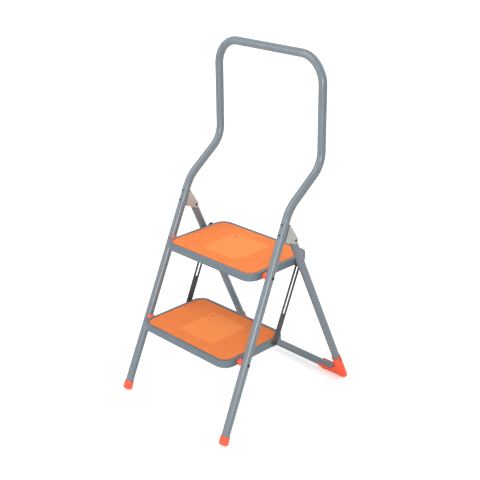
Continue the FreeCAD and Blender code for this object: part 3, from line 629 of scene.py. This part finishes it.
def tube_tree():
    """Pipe along a line of points, with a bend of its own radius at each corner."""
    tree, given, close = new_tree("bent_tube", Radius="Float", Around="Int", Bend_Steps="Int")
    line = add(tree, "GeometryNodeMeshToCurve", {"Mesh": given["Geometry"]})
    bend = add(tree, "GeometryNodeInputNamedAttribute", {"Name": "bend"}, data_type="FLOAT")
    path = add(
        tree, "GeometryNodeFilletCurve",
        {"Curve": line.outputs[0], "Count": given["Bend Steps"], "Radius": bend.outputs["Attribute"]},
        mode="POLY")
    ring = add(
        tree, "GeometryNodeCurvePrimitiveCircle",
        {"Resolution": given["Around"], "Radius": given["Radius"]}, mode="RADIUS")
    pipe = add(
        tree, "GeometryNodeCurveToMesh",
        {"Curve": path.outputs[0], "Profile Curve": ring.outputs["Curve"], "Fill Caps": False})
    smooth = add(tree, "GeometryNodeSetShadeSmooth", {"Geometry": pipe.outputs[0], "Shade Smooth": True})
    return close(smooth.outputs[0])


def pipe(name, tree, points, bends, radius, wall):
    """Tube with a wall along a line of points."""
    mesh = bpy.data.meshes.new(name)
    mesh.from_pydata(points, [(i, i + 1) for i in range(len(points) - 1)], [])
    mesh.attributes.new("bend", "FLOAT", "POINT").data.foreach_set("value", bends)
    item = stand(name, mesh)
    grow(item, tree, Radius=radius, Around=48, Bend_Steps=24, Material=materials()["frame_tube"])
    solid = item.modifiers.new("wall", "SOLIDIFY")
    solid.thickness = wall
    solid.offset = -1
    settle(item)
    soften(item.data)
    return item


def round_bar(half, radius, edge, steps):
    """Profile of a solid bar with rounded ends."""
    return [
        (0, -half), *arc((radius - edge, edge - half), edge, -90, 0, steps),
        *arc((radius - edge, half - edge), edge, 0, 90, steps), (0, half)]


class STOOL_OT_tubes(bpy.types.Operator):
    """Makes the bent front tube, the rear legs and the bars between them"""
    bl_idname = "stool.tubes"
    bl_label = "Tubes"

    def execute(self, context):
        tubes = context.scene.stool_tubes
        tree = tube_tree()
        _, high = corners("front_frame_tube")
        rail_y, rail_z = high.y - tubes.front_radius, high.z - tubes.front_radius
        right = [
            tube_start(tubes),
            front_leg(tubes, tubes.low_knee),
            Vector((tubes.rail_half, rail_y, tubes.high_knee)),
            Vector((tubes.rail_half, rail_y, rail_z)),
        ]
        left = [sided(point, -1) for point in reversed(right)]
        bends = [0, tubes.low_bend, tubes.high_bend, tubes.rail_bend]
        front = pipe("front_tube", tree, right + left, bends + bends[::-1], tubes.front_radius, tubes.wall)
        fit(front, "front_frame", "frame_tube", "front_frame_tube")

        reach = tubes.rear_radius * math.sqrt(1 - direction(rear_leg, tubes).z ** 2)
        low, high = corners("rear_leg_right")
        for side, sign in SIDES.items():
            ends = [sided(rear_leg(tubes, height), sign) for height in (low.z + reach, high.z - reach)]
            leg = pipe("rear_tube_" + side, tree, ends, [0, 0], tubes.rear_radius, tubes.wall)
            fit(leg, "rear_frame", "frame_tube", "rear_leg_" + side)

        _, high = corners("cross_tube")
        profile = round_bar(high.x, tubes.rear_radius, tubes.end_round, 6)
        turned("cross_bar", profile, 48, CROSS, ACROSS, materials()["frame_tube"],
               "rear_frame", "frame_tube", "cross_tube")

        low, high = corners("support_rod")
        broken_edge = 0.4 * MM
        profile = round_bar(high.x, (high.z - low.z) / 2, broken_edge, 3)
        turned("plated_rod", profile, 24, middle("support_rod"), ACROSS, materials()["rod"],
               "rear_frame", "link", "support_rod")
        return {"FINISHED"}


# Trays

def tray_section(trays, height):
    """Section of the pressed sheet from the floor over the rim and down to the flange and back."""
    rim, recess, edge, sheet = trays.rim, trays.recess, trays.edge, trays.sheet
    root, lip, hem = 1.0 * MM, 1.2 * MM, 2.0 * MM
    tip = sheet + trays.flange
    return [
        *arc((rim + root, root - recess), root, 270, 180),
        *arc((rim - lip, -lip), lip, 0, 90),
        *arc((edge, -edge), edge, 90, 180),
        *arc((hem, hem - height), hem, 180, 270),
        *arc((tip, sheet / 2 - height), sheet / 2, 270, 450),
        *arc((hem, hem - height), hem - sheet, 270, 180, 3),
        *arc((edge, -edge), edge - sheet, 180, 90, 4),
        (rim - sheet, -sheet),
        *arc((rim + root, root - recess), root + sheet, 180, 270),
    ]


def bead_tree():
    """Row of stiffening beads joined to the underside of a tray."""
    tree, given, close = new_tree("tray_beads", Bead="Object", Count="Int", First="Vector", Step="Vector")
    row = add(
        tree, "GeometryNodeMeshLine",
        {"Count": given["Count"], "Start Location": given["First"], "Offset": given["Step"]},
        mode="OFFSET")
    bead = add(tree, "GeometryNodeObjectInfo", {"Object": given["Bead"]})
    beads = add(
        tree, "GeometryNodeInstanceOnPoints",
        {"Points": row.outputs[0], "Instance": bead.outputs["Geometry"]})
    both = add(tree, "GeometryNodeJoinGeometry", {"Geometry": [given["Geometry"], beads.outputs[0]]})
    return close(both.outputs[0])


def bead(trays):
    """Half round ridge with round ends, hanging from the plane Z = 0."""
    half = trays.bead_length / 2 - trays.bead_width / 2
    wide = trays.bead_width / 2
    rings = []
    for share, drop in ((1, 0), (0.95, 0.45), (0.75, 0.85), (0.4, 1)):
        outline = arc((half, 0), wide * share, -90, 90, 8) + arc((-half, 0), wide * share, 90, 270, 8)
        rings.append([(x, y, -trays.bead_depth * drop) for x, y in outline])
    return stand("bead", skin("bead", rings))


class STOOL_OT_trays(bpy.types.Operator):
    """Makes the two pressed trays with their rims, flanges and beads"""
    bl_idname = "stool.trays"
    bl_label = "Trays"

    def execute(self, context):
        trays = context.scene.stool_trays
        tree = bead_tree()
        pattern = bead(trays)
        for step in STEPS:
            name = step + "_tray_pressing"
            low, high = corners(step + "_tray")
            rings = [
                ring_inside(low, high, trays.corner, inset, high.z + drop)
                for inset, drop in tray_section(trays, high.z - low.z)]
            item = stand(name, skin(name, rings))
            under = high.z - trays.recess - trays.sheet
            grow(item, tree, Bead=pattern, Count=trays.bead_count,
                 First=(0, STEP_BOLTS[step].y + trays.bead_first, under), Step=(0, trays.bead_pitch, 0),
                 Material=materials()["tray_sheet"])
            settle(item)
            soften(item.data, 40)
            even_out(item)
            fit(item, step + "_step", "tray_sheet", step + "_tray")
        clear_away(pattern)
        return {"FINISHED"}


# Mats

def past_core(tree, place, centre, core):
    """How far a point lies past a rectangle's core, as a vector, and the point kept to the core."""
    away = add(tree, "ShaderNodeVectorMath", {0: place, 1: centre}, operation="SUBTRACT").outputs[0]
    least = add(tree, "ShaderNodeVectorMath", {0: core, "Scale": -1.0}, operation="SCALE").outputs[0]
    below = add(tree, "ShaderNodeVectorMath", {0: away, 1: core}, operation="MINIMUM").outputs[0]
    kept = add(tree, "ShaderNodeVectorMath", {0: below, 1: least}, operation="MAXIMUM").outputs[0]
    past = add(tree, "ShaderNodeVectorMath", {0: away, 1: kept}, operation="SUBTRACT").outputs[0]
    return past, kept


def outside_of(tree, place, centre, core, corner):
    """Whether a point lies outside a rectangle with round corners."""
    past, _ = past_core(tree, place, centre, core)
    reach = add(tree, "ShaderNodeVectorMath", {0: past}, operation="LENGTH").outputs["Value"]
    return add(tree, "ShaderNodeMath", {0: reach, 1: corner}, operation="GREATER_THAN").outputs[0]


def trimmed(tree, geometry, centre, core, corner):
    """Geometry pulled in to a rectangle with round corners."""
    place = add(tree, "GeometryNodeInputPosition").outputs[0]
    past, kept = past_core(tree, place, centre, core)
    reach = add(tree, "ShaderNodeVectorMath", {0: past}, operation="LENGTH").outputs["Value"]
    far = add(tree, "ShaderNodeMath", {0: reach, 1: corner}, operation="MAXIMUM").outputs[0]
    share = add(tree, "ShaderNodeMath", {0: corner, 1: far}, operation="DIVIDE").outputs[0]
    inward = add(tree, "ShaderNodeVectorMath", {0: past, "Scale": share}, operation="SCALE").outputs[0]
    local = add(tree, "ShaderNodeVectorMath", {0: kept, 1: inward}, operation="ADD").outputs[0]
    back = add(tree, "ShaderNodeVectorMath", {0: local, 1: centre}, operation="ADD").outputs[0]
    return add(tree, "GeometryNodeSetPosition", {"Geometry": geometry, "Position": back}).outputs[0]


def stud_tree():
    """Field of studs on a mat, kept off its border and off the smooth panel."""
    tree, given, close = new_tree(
        "mat_studs", Stud="Object", Columns="Int", Rows="Int", Pitch_Across="Float", Pitch_Deep="Float",
        Centre="Vector", Field_Core="Vector", Field_Corner="Float", Overhang="Float",
        Panel_Centre="Vector", Panel_Half="Vector", Panel_Corner="Float")
    spans = []
    for count, pitch in (("Columns", "Pitch Across"), ("Rows", "Pitch Deep")):
        gaps = add(tree, "ShaderNodeMath", {0: given[count], 1: 1.0}, operation="SUBTRACT")
        span = add(tree, "ShaderNodeMath", {0: gaps.outputs[0], 1: given[pitch]}, operation="MULTIPLY")
        spans.append(span.outputs[0])
    grid = add(
        tree, "GeometryNodeMeshGrid",
        {"Size X": spans[0], "Size Y": spans[1], "Vertices X": given["Columns"], "Vertices Y": given["Rows"]})
    field = add(tree, "GeometryNodeSetPosition", {"Geometry": grid.outputs[0], "Offset": given["Centre"]})
    place = add(tree, "GeometryNodeInputPosition").outputs[0]
    edge = add(tree, "ShaderNodeMath", {0: given["Field Corner"], 1: given["Overhang"]}, operation="ADD")
    off = outside_of(tree, place, given["Centre"], given["Field Core"], edge.outputs[0])
    clear = outside_of(tree, place, given["Panel Centre"], given["Panel Half"], given["Panel Corner"])
    on_panel = add(tree, "ShaderNodeMath", {0: 1.0, 1: clear}, operation="SUBTRACT")
    gone = add(tree, "ShaderNodeMath", {0: off, 1: on_panel.outputs[0]}, operation="MAXIMUM")
    kept = add(
        tree, "GeometryNodeDeleteGeometry",
        {"Geometry": field.outputs[0], "Selection": gone.outputs[0]}, domain="POINT", mode="ALL")
    stud = add(tree, "GeometryNodeObjectInfo", {"Object": given["Stud"]})
    studs = add(
        tree, "GeometryNodeInstanceOnPoints",
        {"Points": kept.outputs[0], "Instance": stud.outputs["Geometry"]})
    loose = add(tree, "GeometryNodeRealizeInstances", {"Geometry": studs.outputs[0]}).outputs[0]
    fitted = trimmed(tree, loose, given["Centre"], given["Field Core"], given["Field Corner"])
    both = add(tree, "GeometryNodeJoinGeometry", {"Geometry": [given["Geometry"], fitted]})
    return close(both.outputs[0])


# Places on the ramp of the mat's colour: the gate and the grooves take painted shade, and the panel takes a
# painted lightening.
GATE_SHADE, GROOVE_SHADE, TOP, PANEL_LIGHTENED = 0.0, 0.35, 0.8, 1.0


def mark(mesh, value, root=None):
    """Marks how far a part of the mat stands out of its grooves, and its root if it has one; the mat's colour
    paints its shade and light by this mark.
    """
    data = mesh.attributes.new("raised", "FLOAT", "POINT").data
    root = value if root is None else root
    data.foreach_set("value", [root if vertex.co.z < 0 else value for vertex in mesh.vertices])


def stud(mats):
    """One stud with sloping sides and a broken edge, rooted a little below its plane."""
    half_x = (mats.pitch_across - mats.groove_across) / 2
    half_y = (mats.pitch_deep - mats.groove_deep) / 2
    tall, root, flare, edge = mats.stud_height, 0.2 * MM, 0.2 * MM, 0.25 * MM
    rings = []
    for back, height in ((-flare, -root), (0, tall - edge), (edge, tall)):
        x, y = half_x - back, half_y - back
        rings.append([(x, y, height), (-x, y, height), (-x, -y, height), (x, -y, height)])
    mesh = skin("stud", rings)
    # The stud's root takes the painted groove shade, and its top takes the plain colour.
    mark(mesh, TOP, GROOVE_SHADE)
    return stand("stud", mesh)


def mat_base(name, low, high, corner, bottom, top):
    """Sheet of rubber with softened edges."""
    soft = 0.5 * MM
    section = [(0, bottom), *((soft - x, top - soft + y) for x, y in arc((0, 0), soft, 0, 90, 3))]
    return skin(name, [ring_inside(low, high, corner, inset, height) for inset, height in section])


class STOOL_OT_mats(bpy.types.Operator):
    """Makes the two studded mats with their smooth panels"""
    bl_idname = "stool.mats"
    bl_label = "Mats"

    def execute(self, context):
        mats = context.scene.stool_mats
        trays = context.scene.stool_trays
        tree = stud_tree()
        pattern = stud(mats)
        wide = (mats.pitch_across - mats.groove_across) / 2
        deep = (mats.pitch_deep - mats.groove_deep) / 2
        root, edge = 0.2 * MM, 0.2 * MM
        for step in STEPS:
            name = step + "_studded_mat"
            low, high = corners(step + "_mat")
            bolt_y = STEP_BOLTS[step].y
            corner = trays.corner - trays.rim - mats.gap
            floor = high.z - mats.stud_height
            base = mat_base(name, low, high, corner, low.z, floor)
            # The sheet between the studs takes the painted groove shade.
            mark(base, GROOVE_SHADE)

            front, back = bolt_y + mats.panel_front, bolt_y + mats.panel_back
            thick = mats.stud_height - mats.panel_drop
            spot = (mats.gate_x, bolt_y + mats.gate_back)
            gate = arc(spot, mats.gate_radius, 0, 345, 23)
            outline = rounded((-mats.panel_half, front), (mats.panel_half, back), mats.panel_corner)
            panel = flat_bar("panel", [outline, gate], thick + root, edge)
            panel.transform(Matrix.Translation((0, 0, floor + thick / 2 - root / 2)))
            # The panel takes the painted lightening.
            mark(panel, PANEL_LIGHTENED)
            foot, tip, shoulder, cut = mats.gate_radius, mats.gate_radius * 0.5, 0.1 * MM, 0.3 * MM
            stub = lathe("stub", [(0, -root), (foot, -root), (foot, shoulder), (tip, cut), (0, cut)], 20)
            stub.transform(Matrix.Translation((*spot, floor)))
            # The gate stub takes the painted shade of a dimple.
            mark(stub, GATE_SHADE)
            shape = bmesh.new()
            for piece in (base, panel, stub):
                shape.from_mesh(piece)

            item = stand(name, as_mesh(name, shape))
            centre = (low + high) / 2
            centre.z = floor
            half = (high - low) / 2
            panel_half = Vector((mats.panel_half + wide / 2, (back - front) / 2 + deep / 2, 1))
            grow(
                item, tree, Stud=pattern,
                Columns=2 * int(half.x / mats.pitch_across + 0.5),
                Rows=2 * int(half.y / mats.pitch_deep) + 1,
                Pitch_Across=mats.pitch_across, Pitch_Deep=mats.pitch_deep, Centre=centre,
                Field_Core=(half.x - corner, half.y - corner, 1), Field_Corner=corner - mats.border,
                Overhang=mats.overhang, Panel_Centre=(0, (front + back) / 2, floor), Panel_Half=panel_half,
                Panel_Corner=0.6 * MM, Material=materials()["mat"])
            settle(item)
            soften(item.data, 35)
            even_out(item)
            fit(item, step + "_step", "mat", step + "_mat")
        clear_away(pattern)
        return {"FINISHED"}


# Feet and spacers

class STOOL_OT_cups(bpy.types.Operator):
    """Makes the cups on the front feet and the spacers beside the trays"""
    bl_idname = "stool.cups"
    bl_label = "Cups and Spacers"

    def execute(self, context):
        tubes = context.scene.stool_tubes
        fittings = context.scene.stool_fittings
        coral = materials()["foot"]
        big, tall, sole = fittings.cup_radius, fittings.cup_length, fittings.cup_sole
        edge, lip, play = 3 * MM, 0.8 * MM, 0.05 * MM
        bore = tubes.front_radius + play
        leg = direction(front_leg, tubes)
        start = tube_start(tubes) - leg * sole
        below_rim = ((4.2, 0), (3.9, 0.35), (3.3, 0.35), (3.0, 0))
        groove = [(big - depth * MM, tall - down * MM) for down, depth in below_rim]
        profile = [
            (0, 0), *arc((big - edge, edge), edge, -90, 0, 8), *groove,
            *arc((big - lip, tall - lip), lip, 0, 90, 4), (bore, tall), (bore, sole), (0, sole)]
        for side, sign in SIDES.items():
            turned("front_cup_" + side, profile, 64, sided(start, sign), sided(leg, sign), coral,
                   "front_frame", "foot", "front_foot_" + side)

        small, large, soft = fittings.spacer_small, fittings.spacer_large, fittings.spacer_round
        into_leg = 0.6
        for step in STEPS:
            bolt = STEP_BOLTS[step]
            for side, sign in SIDES.items():
                node = "step_spacer_%s_%s" % (step, side)
                low, high = corners(node)
                inner = low.x if sign > 0 else high.x
                reach = front_leg(tubes, bolt.z).x - abs(inner) - tubes.front_radius * into_leg
                profile = [(0, 0), *arc((small - soft, soft), soft, -90, 0, 8), (large, reach), (0, reach)]
                turned(node + "_turned", profile, 40, Vector((inner, bolt.y, bolt.z)), ACROSS * sign, coral,
                       "front_frame", "spacer", node)
        return {"FINISHED"}


def merged(node):
    """Copy of a solid's mesh with its triangles joined to whole faces."""
    shape = bmesh.new()
    shape.from_mesh(frame["nodes"][node].data)
    bmesh.ops.remove_doubles(shape, verts=shape.verts, dist=0.002 * MM)
    bmesh.ops.dissolve_limit(
        shape, angle_limit=math.radians(0.4), verts=shape.verts, edges=shape.edges,
        use_dissolve_boundaries=False)
    return shape


def round_heel(shape, tubes, sign, radius):
    """Rounds the outer side of a rear shoe where it meets the floor."""
    cuts = 8
    for i in range(1, cuts + 1):
        bmesh.ops.bisect_plane(
            shape, geom=[*shape.verts, *shape.edges, *shape.faces], dist=0.001 * MM,
            plane_co=UPRIGHT * radius * i / cuts, plane_no=UPRIGHT)
    for vertex in shape.verts:
        height = max(vertex.co.z, 0.0)
        axis = rear_leg(tubes, height)
        away = vertex.co.xy - sided(axis, sign).xy
        if height < radius and away.length > 0:
            outward = min(max(2 * sign * away.x / away.length, 0.0), 1.0)
            inset = radius - math.sqrt(radius ** 2 - (radius - height) ** 2)
            vertex.co.xy -= away.normalized() * min(inset, away.length / 2) * outward


def softened(name, shape, gap, width, material):
    """Piece made from a copy of a solid, with its short edges joined and its hard edges rounded."""
    bmesh.ops.remove_doubles(shape, verts=shape.verts, dist=gap)
    bmesh.ops.dissolve_degenerate(shape, dist=gap, edges=shape.edges)
    mesh = as_mesh(name, shape)
    coat(mesh, material)
    item = stand(name, mesh)
    bevel = item.modifiers.new("edges", "BEVEL")
    bevel.width = width
    bevel.segments = 2
    bevel.limit_method = "ANGLE"
    bevel.angle_limit = math.radians(32)
    bevel.use_clamp_overlap = False
    bevel.loop_slide = False
    settle(item)
    soften(item.data, 35)
    even_out(item)
    return item


class STOOL_OT_rear_feet(bpy.types.Operator):
    """Makes the shoes on the rear feet"""
    bl_idname = "stool.rear_feet"
    bl_label = "Rear Feet"

    def execute(self, context):
        tubes = context.scene.stool_tubes
        fittings = context.scene.stool_fittings
        for side, sign in SIDES.items():
            shape = merged("rear_foot_" + side)
            round_heel(shape, tubes, sign, fittings.heel_round)
            shoe = softened(
                "rear_shoe_" + side, shape, gap=0.2 * MM, width=0.15 * MM, material=materials()["foot"])
            fit(shoe, "rear_frame", "foot", "rear_foot_" + side)
        return {"FINISHED"}


class STOOL_OT_brackets(bpy.types.Operator):
    """Makes the bent brackets that carry the rear legs"""
    bl_idname = "stool.brackets"
    bl_label = "Brackets"

    def execute(self, context):
        for side in SIDES:
            shape = merged("hinge_bracket_" + side)
            plate = softened(
                "hinge_plate_" + side, shape, gap=0.4 * MM, width=0.3 * MM, material=materials()["bracket"])
            fit(plate, "front_frame", "bracket", "hinge_bracket_" + side)
        return {"FINISHED"}


# Links

class STOOL_OT_links(bpy.types.Operator):
    """Makes the slotted links between the trays"""
    bl_idname = "stool.links"
    bl_label = "Links"

    def execute(self, context):
        links = context.scene.stool_links
        for side in SIDES:
            node = "link_" + side
            low, high = corners(node)
            outlines = [
                stadium(links.half_width, 0, RISE.length),
                stadium(links.slot_half, links.slot_low, links.slot_high)]
            strip = flat_bar("slotted_" + node, outlines, high.x - low.x, links.bevel)
            turn = Matrix((BEHIND, ALONG, ACROSS)).transposed().to_4x4()
            strip.transform(Matrix.Translation(((low.x + high.x) / 2, LINK_LOW.y, LINK_LOW.z)) @ turn)
            coat(strip, materials()["link"])
            soften(strip, 40)
            item = stand("slotted_" + node, strip)
            even_out(item)
            fit(item, node, "link", node)
        return {"FINISHED"}


# Fasteners

def fastener_tree():
    """One fastener set on every point, turned to the point's own axis."""
    tree, given, close = new_tree("fasteners", Fastener="Object")
    axis = add(tree, "GeometryNodeInputNamedAttribute", {"Name": "axis"}, data_type="FLOAT_VECTOR")
    turn = add(
        tree, "FunctionNodeAlignRotationToVector", {"Vector": axis.outputs["Attribute"]}, axis="Z")
    item = add(tree, "GeometryNodeObjectInfo", {"Object": given["Fastener"]})
    each = add(
        tree, "GeometryNodeInstanceOnPoints",
        {"Points": given["Geometry"], "Instance": item.outputs["Geometry"], "Rotation": turn.outputs[0]})
    return close(each.outputs[0])


def headed(name, shank, reach, head, tall, tail=None):
    """Fastener with a low domed head on the plane Z = 0, a dimple in the head and a shank below."""
    rim = tall * 0.35
    end = [(0, -reach), (shank, -reach)]
    if tail:
        clench, brim = 1.2 * MM, 0.3 * MM
        top = clench - reach
        end += [(tail, top - brim), (tail, top), (shank, top)]
    turns = (0.0, 0.35, 0.7, 1.0, 1.2)
    dome = [(head * math.cos(turn), rim + (tall - rim) * math.sin(turn)) for turn in turns]
    dimple = [(head * 0.28, tall), (head * 0.2, tall * 0.8), (0, tall * 0.75)]
    return lathe(name, [*end, (shank, 0), (head, 0), *dome, *dimple], 32)


def fasten(name, tree, pattern, places, body, *nodes):
    """Set of one kind of fastener as one piece."""
    mesh = bpy.data.meshes.new(name)
    mesh.from_pydata([place for place, _ in places], [], [])
    data = mesh.attributes.new("axis", "FLOAT_VECTOR", "POINT").data
    data.foreach_set("vector", [part for _, axis in places for part in axis])
    helper = stand("pattern", pattern)
    soften(pattern, 30)
    item = stand(name, mesh)
    grow(item, tree, Fastener=helper, Material=materials()["fastener"])
    settle(item)
    clear_away(helper)
    fit(item, body, "fastener", *nodes)


def both(place, axis):
    """A place and an axis on the right, and their mirror images on the left."""
    return [(sided(place, sign), sided(axis, sign)) for sign in (1, -1)]


class STOOL_OT_fasteners(bpy.types.Operator):
    """Sets the rivets, pins, bolts and screws"""
    bl_idname = "stool.fasteners"
    bl_label = "Fasteners"

    def execute(self, context):
        tubes = context.scene.stool_tubes
        fittings = context.scene.stool_fittings
        tree = fastener_tree()

        spots = []
        for along in (fittings.rivet_low, fittings.rivet_high):
            axis_point = front_leg(tubes, along * math.cos(LEAN))
            spots += both(axis_point - BEHIND * tubes.front_radius, -BEHIND)
        rivet = headed("rivet", shank=2.5 * MM, reach=29.2 * MM, head=3.4 * MM, tall=1.0 * MM, tail=3.4 * MM)
        fasten("bracket_rivet_set", tree, rivet, spots, "front_frame", "bracket_rivets")

        for step in STEPS:
            bolt = STEP_BOLTS[step]
            tall, inner_end = 1.8 * MM, 180.5 * MM
            outside = corners(step + "_step_bolts")[1].x - tall
            place = Vector((outside, bolt.y, bolt.z))
            screw = headed("bolt", shank=3 * MM, reach=outside - inner_end, head=5 * MM, tall=tall)
            fasten(step + "_bolt_set", tree, screw, both(place, ACROSS), "front_frame", step + "_step_bolts")

            tall = 2 * MM
            pivot = LINK_LOW + (RISE if step == "upper" else Vector())
            place = Vector((corners(step + "_link_rivets")[1].x - tall, pivot.y, pivot.z))
            pin = headed("link_rivet", shank=3 * MM, reach=8.9 * MM, head=5 * MM, tall=tall, tail=5 * MM)
            fasten(step + "_link_rivet_set", tree, pin, both(place, ACROSS), step + "_step",
                   step + "_link_rivets")

        tall = 1.1 * MM
        ear = corners("hinge_pin_right")[1].x - tall
        pin = headed("pin", shank=3 * MM, reach=30.2 * MM, head=3.8 * MM, tall=tall, tail=3.8 * MM)
        fasten("hinge_pin_set", tree, pin, both(Vector((ear, HINGE.y, HINGE.z)), ACROSS), "front_frame",
               "hinge_pin_left", "hinge_pin_right")

        clear = 0.1 * MM
        place = rear_leg(tubes, fittings.screw_height) + ACROSS * (fittings.sleeve_radius + clear)
        screw = headed("foot_screw", shank=1.75 * MM, reach=8 * MM, head=3.2 * MM, tall=1.6 * MM)
        fasten("foot_screw_set", tree, screw, both(place, ACROSS), "rear_frame", "rear_foot_screws")
        return {"FINISHED"}


# Stage

def camera_turn(stage):
    """Turn of the camera, from the direction that it stands in."""
    a, e = stage.azimuth, stage.elevation
    back = Vector((math.sin(a) * math.cos(e), -math.cos(a) * math.cos(e), math.sin(e)))
    right = Vector((math.cos(a), math.sin(a), 0))
    up = back.cross(right)
    across = right * math.cos(stage.roll) + up * math.sin(stage.roll)
    upright = up * math.cos(stage.roll) - right * math.sin(stage.roll)
    return Matrix((across, upright, back)).transposed()


def lamp(name, place, size, power):
    """Square soft box that faces the middle of the stool."""
    light = bpy.data.lights.new(name, "AREA")
    light.energy = power
    light.size = size
    item = stand(name, light)
    item.location = place
    item.rotation_mode = "QUATERNION"
    item.rotation_quaternion = (Vector((0, 0, 0.5)) - Vector(place)).to_track_quat("-Z", "Y")


def seen_white(tree, strength_socket, unseen):
    """Strength 1 to the camera and in reflections, and another strength as light."""
    rays = add(tree, "ShaderNodeLightPath").outputs
    seen = rays["Is Camera Ray"]
    for kind in ("Is Glossy Ray", "Is Transmission Ray"):
        seen = add(tree, "ShaderNodeMath", {0: seen, 1: rays[kind]}, operation="MAXIMUM").outputs[0]
    white = add(tree, "ShaderNodeMapRange", {"Value": seen, "To Min": unseen, "To Max": 1.0})
    tree.links.new(white.outputs["Result"], strength_socket)


class STOOL_OT_stage(bpy.types.Operator):
    """Makes the floor, the light and the camera"""
    bl_idname = "stool.stage"
    bl_label = "Stage"

    def execute(self, context):
        scene = context.scene
        stage = scene.stool_stage
        scene.view_settings.view_transform = "Standard"
        data = bpy.data.cameras.new("camera")
        data.lens = stage.lens
        data.sensor_width = 36
        half_pixel = 0.5 / IMAGE_SIDE
        data.shift_x = -half_pixel
        data.shift_y = half_pixel
        camera = stand("camera", data)
        camera.matrix_world = Matrix.Translation(stage.camera_place) @ camera_turn(stage).to_4x4()
        scene.camera = camera

        world = bpy.data.worlds.new("studio")
        world.use_nodes = True
        scene.world = world
        background = world.node_tree.nodes["Background"]
        background.inputs["Color"].default_value = (1, 1, 1, 1)
        seen_white(world.node_tree, background.inputs["Strength"], stage.ambient)

        lamp("top", (-0.4, -1.4, 3.0), 2.0, stage.top_power)
        lamp("key", (-1.9, -2.4, 1.9), 1.6, stage.key_power)
        lamp("fill", (2.55, -2.45, 0.95), 1.0, stage.fill_power)
        lamp("back", (0.5, 2.2, 1.9), 1.4, stage.back_power)

        mesh = bpy.data.meshes.new("floor")
        far = 14.0
        mesh.from_pydata([(-far, -far, 0), (far, -far, 0), (far, far, 0), (-far, far, 0)], [], [(0, 1, 2, 3)])
        material, tree, shader, place = finish("studio_floor")
        shader.inputs["Base Color"].default_value = linear("F2F2F2")
        shader.inputs["Roughness"].default_value = 0.9
        shader.inputs["Emission Color"].default_value = (1, 1, 1, 1)
        away = add(tree, "ShaderNodeVectorMath", {0: place}, operation="LENGTH")
        glow = add(
            tree, "ShaderNodeMapRange",
            {"Value": away.outputs["Value"], "From Min": 0.5, "From Max": 3.0, "To Min": 0.42, "To Max": 0.8})
        rays = add(tree, "ShaderNodeLightPath").outputs
        seen = add(
            tree, "ShaderNodeMath", {0: rays["Is Camera Ray"], 1: glow.outputs["Result"]},
            operation="MULTIPLY")
        tree.links.new(seen.outputs[0], shader.inputs["Emission Strength"])
        mesh.materials.append(material)
        stand("floor", mesh)
        return {"FINISHED"}


class STOOL_PT_pieces(bpy.types.Panel):
    """Lists the makers of the stool's pieces"""
    bl_label = "Stool"
    bl_idname = "STOOL_PT_pieces"
    bl_space_type = "VIEW_3D"
    bl_region_type = "UI"
    bl_category = "Stool"

    def draw(self, context):
        for operator in OPERATORS:
            self.layout.operator(operator.bl_idname)


OPERATORS = (
    STOOL_OT_finishes, STOOL_OT_tubes, STOOL_OT_trays, STOOL_OT_mats, STOOL_OT_cups, STOOL_OT_rear_feet,
    STOOL_OT_brackets, STOOL_OT_links, STOOL_OT_fasteners, STOOL_OT_stage)
GROUPS = {
    "stool_tubes": StoolTubes, "stool_trays": StoolTrays, "stool_mats": StoolMats, "stool_links": StoolLinks,
    "stool_fittings": StoolFittings, "stool_finishes": StoolFinishes, "stool_stage": StoolStage}
CLASSES = (*GROUPS.values(), *OPERATORS, STOOL_PT_pieces)


def register():
    for item in CLASSES:
        bpy.utils.register_class(item)
    for name, group in GROUPS.items():
        setattr(bpy.types.Scene, name, bpy.props.PointerProperty(type=group))


def unregister():
    for name in GROUPS:
        delattr(bpy.types.Scene, name)
    for item in reversed(CLASSES):
        bpy.utils.unregister_class(item)


def main():
    register()
    bpy.ops.stool.finishes()
    bpy.ops.stool.tubes()
    bpy.ops.stool.trays()
    bpy.ops.stool.mats()
    bpy.ops.stool.cups()
    bpy.ops.stool.rear_feet()
    bpy.ops.stool.brackets()
    bpy.ops.stool.links()
    bpy.ops.stool.fasteners()
    bpy.ops.stool.stage()


if __name__ == "__main__":
    main()
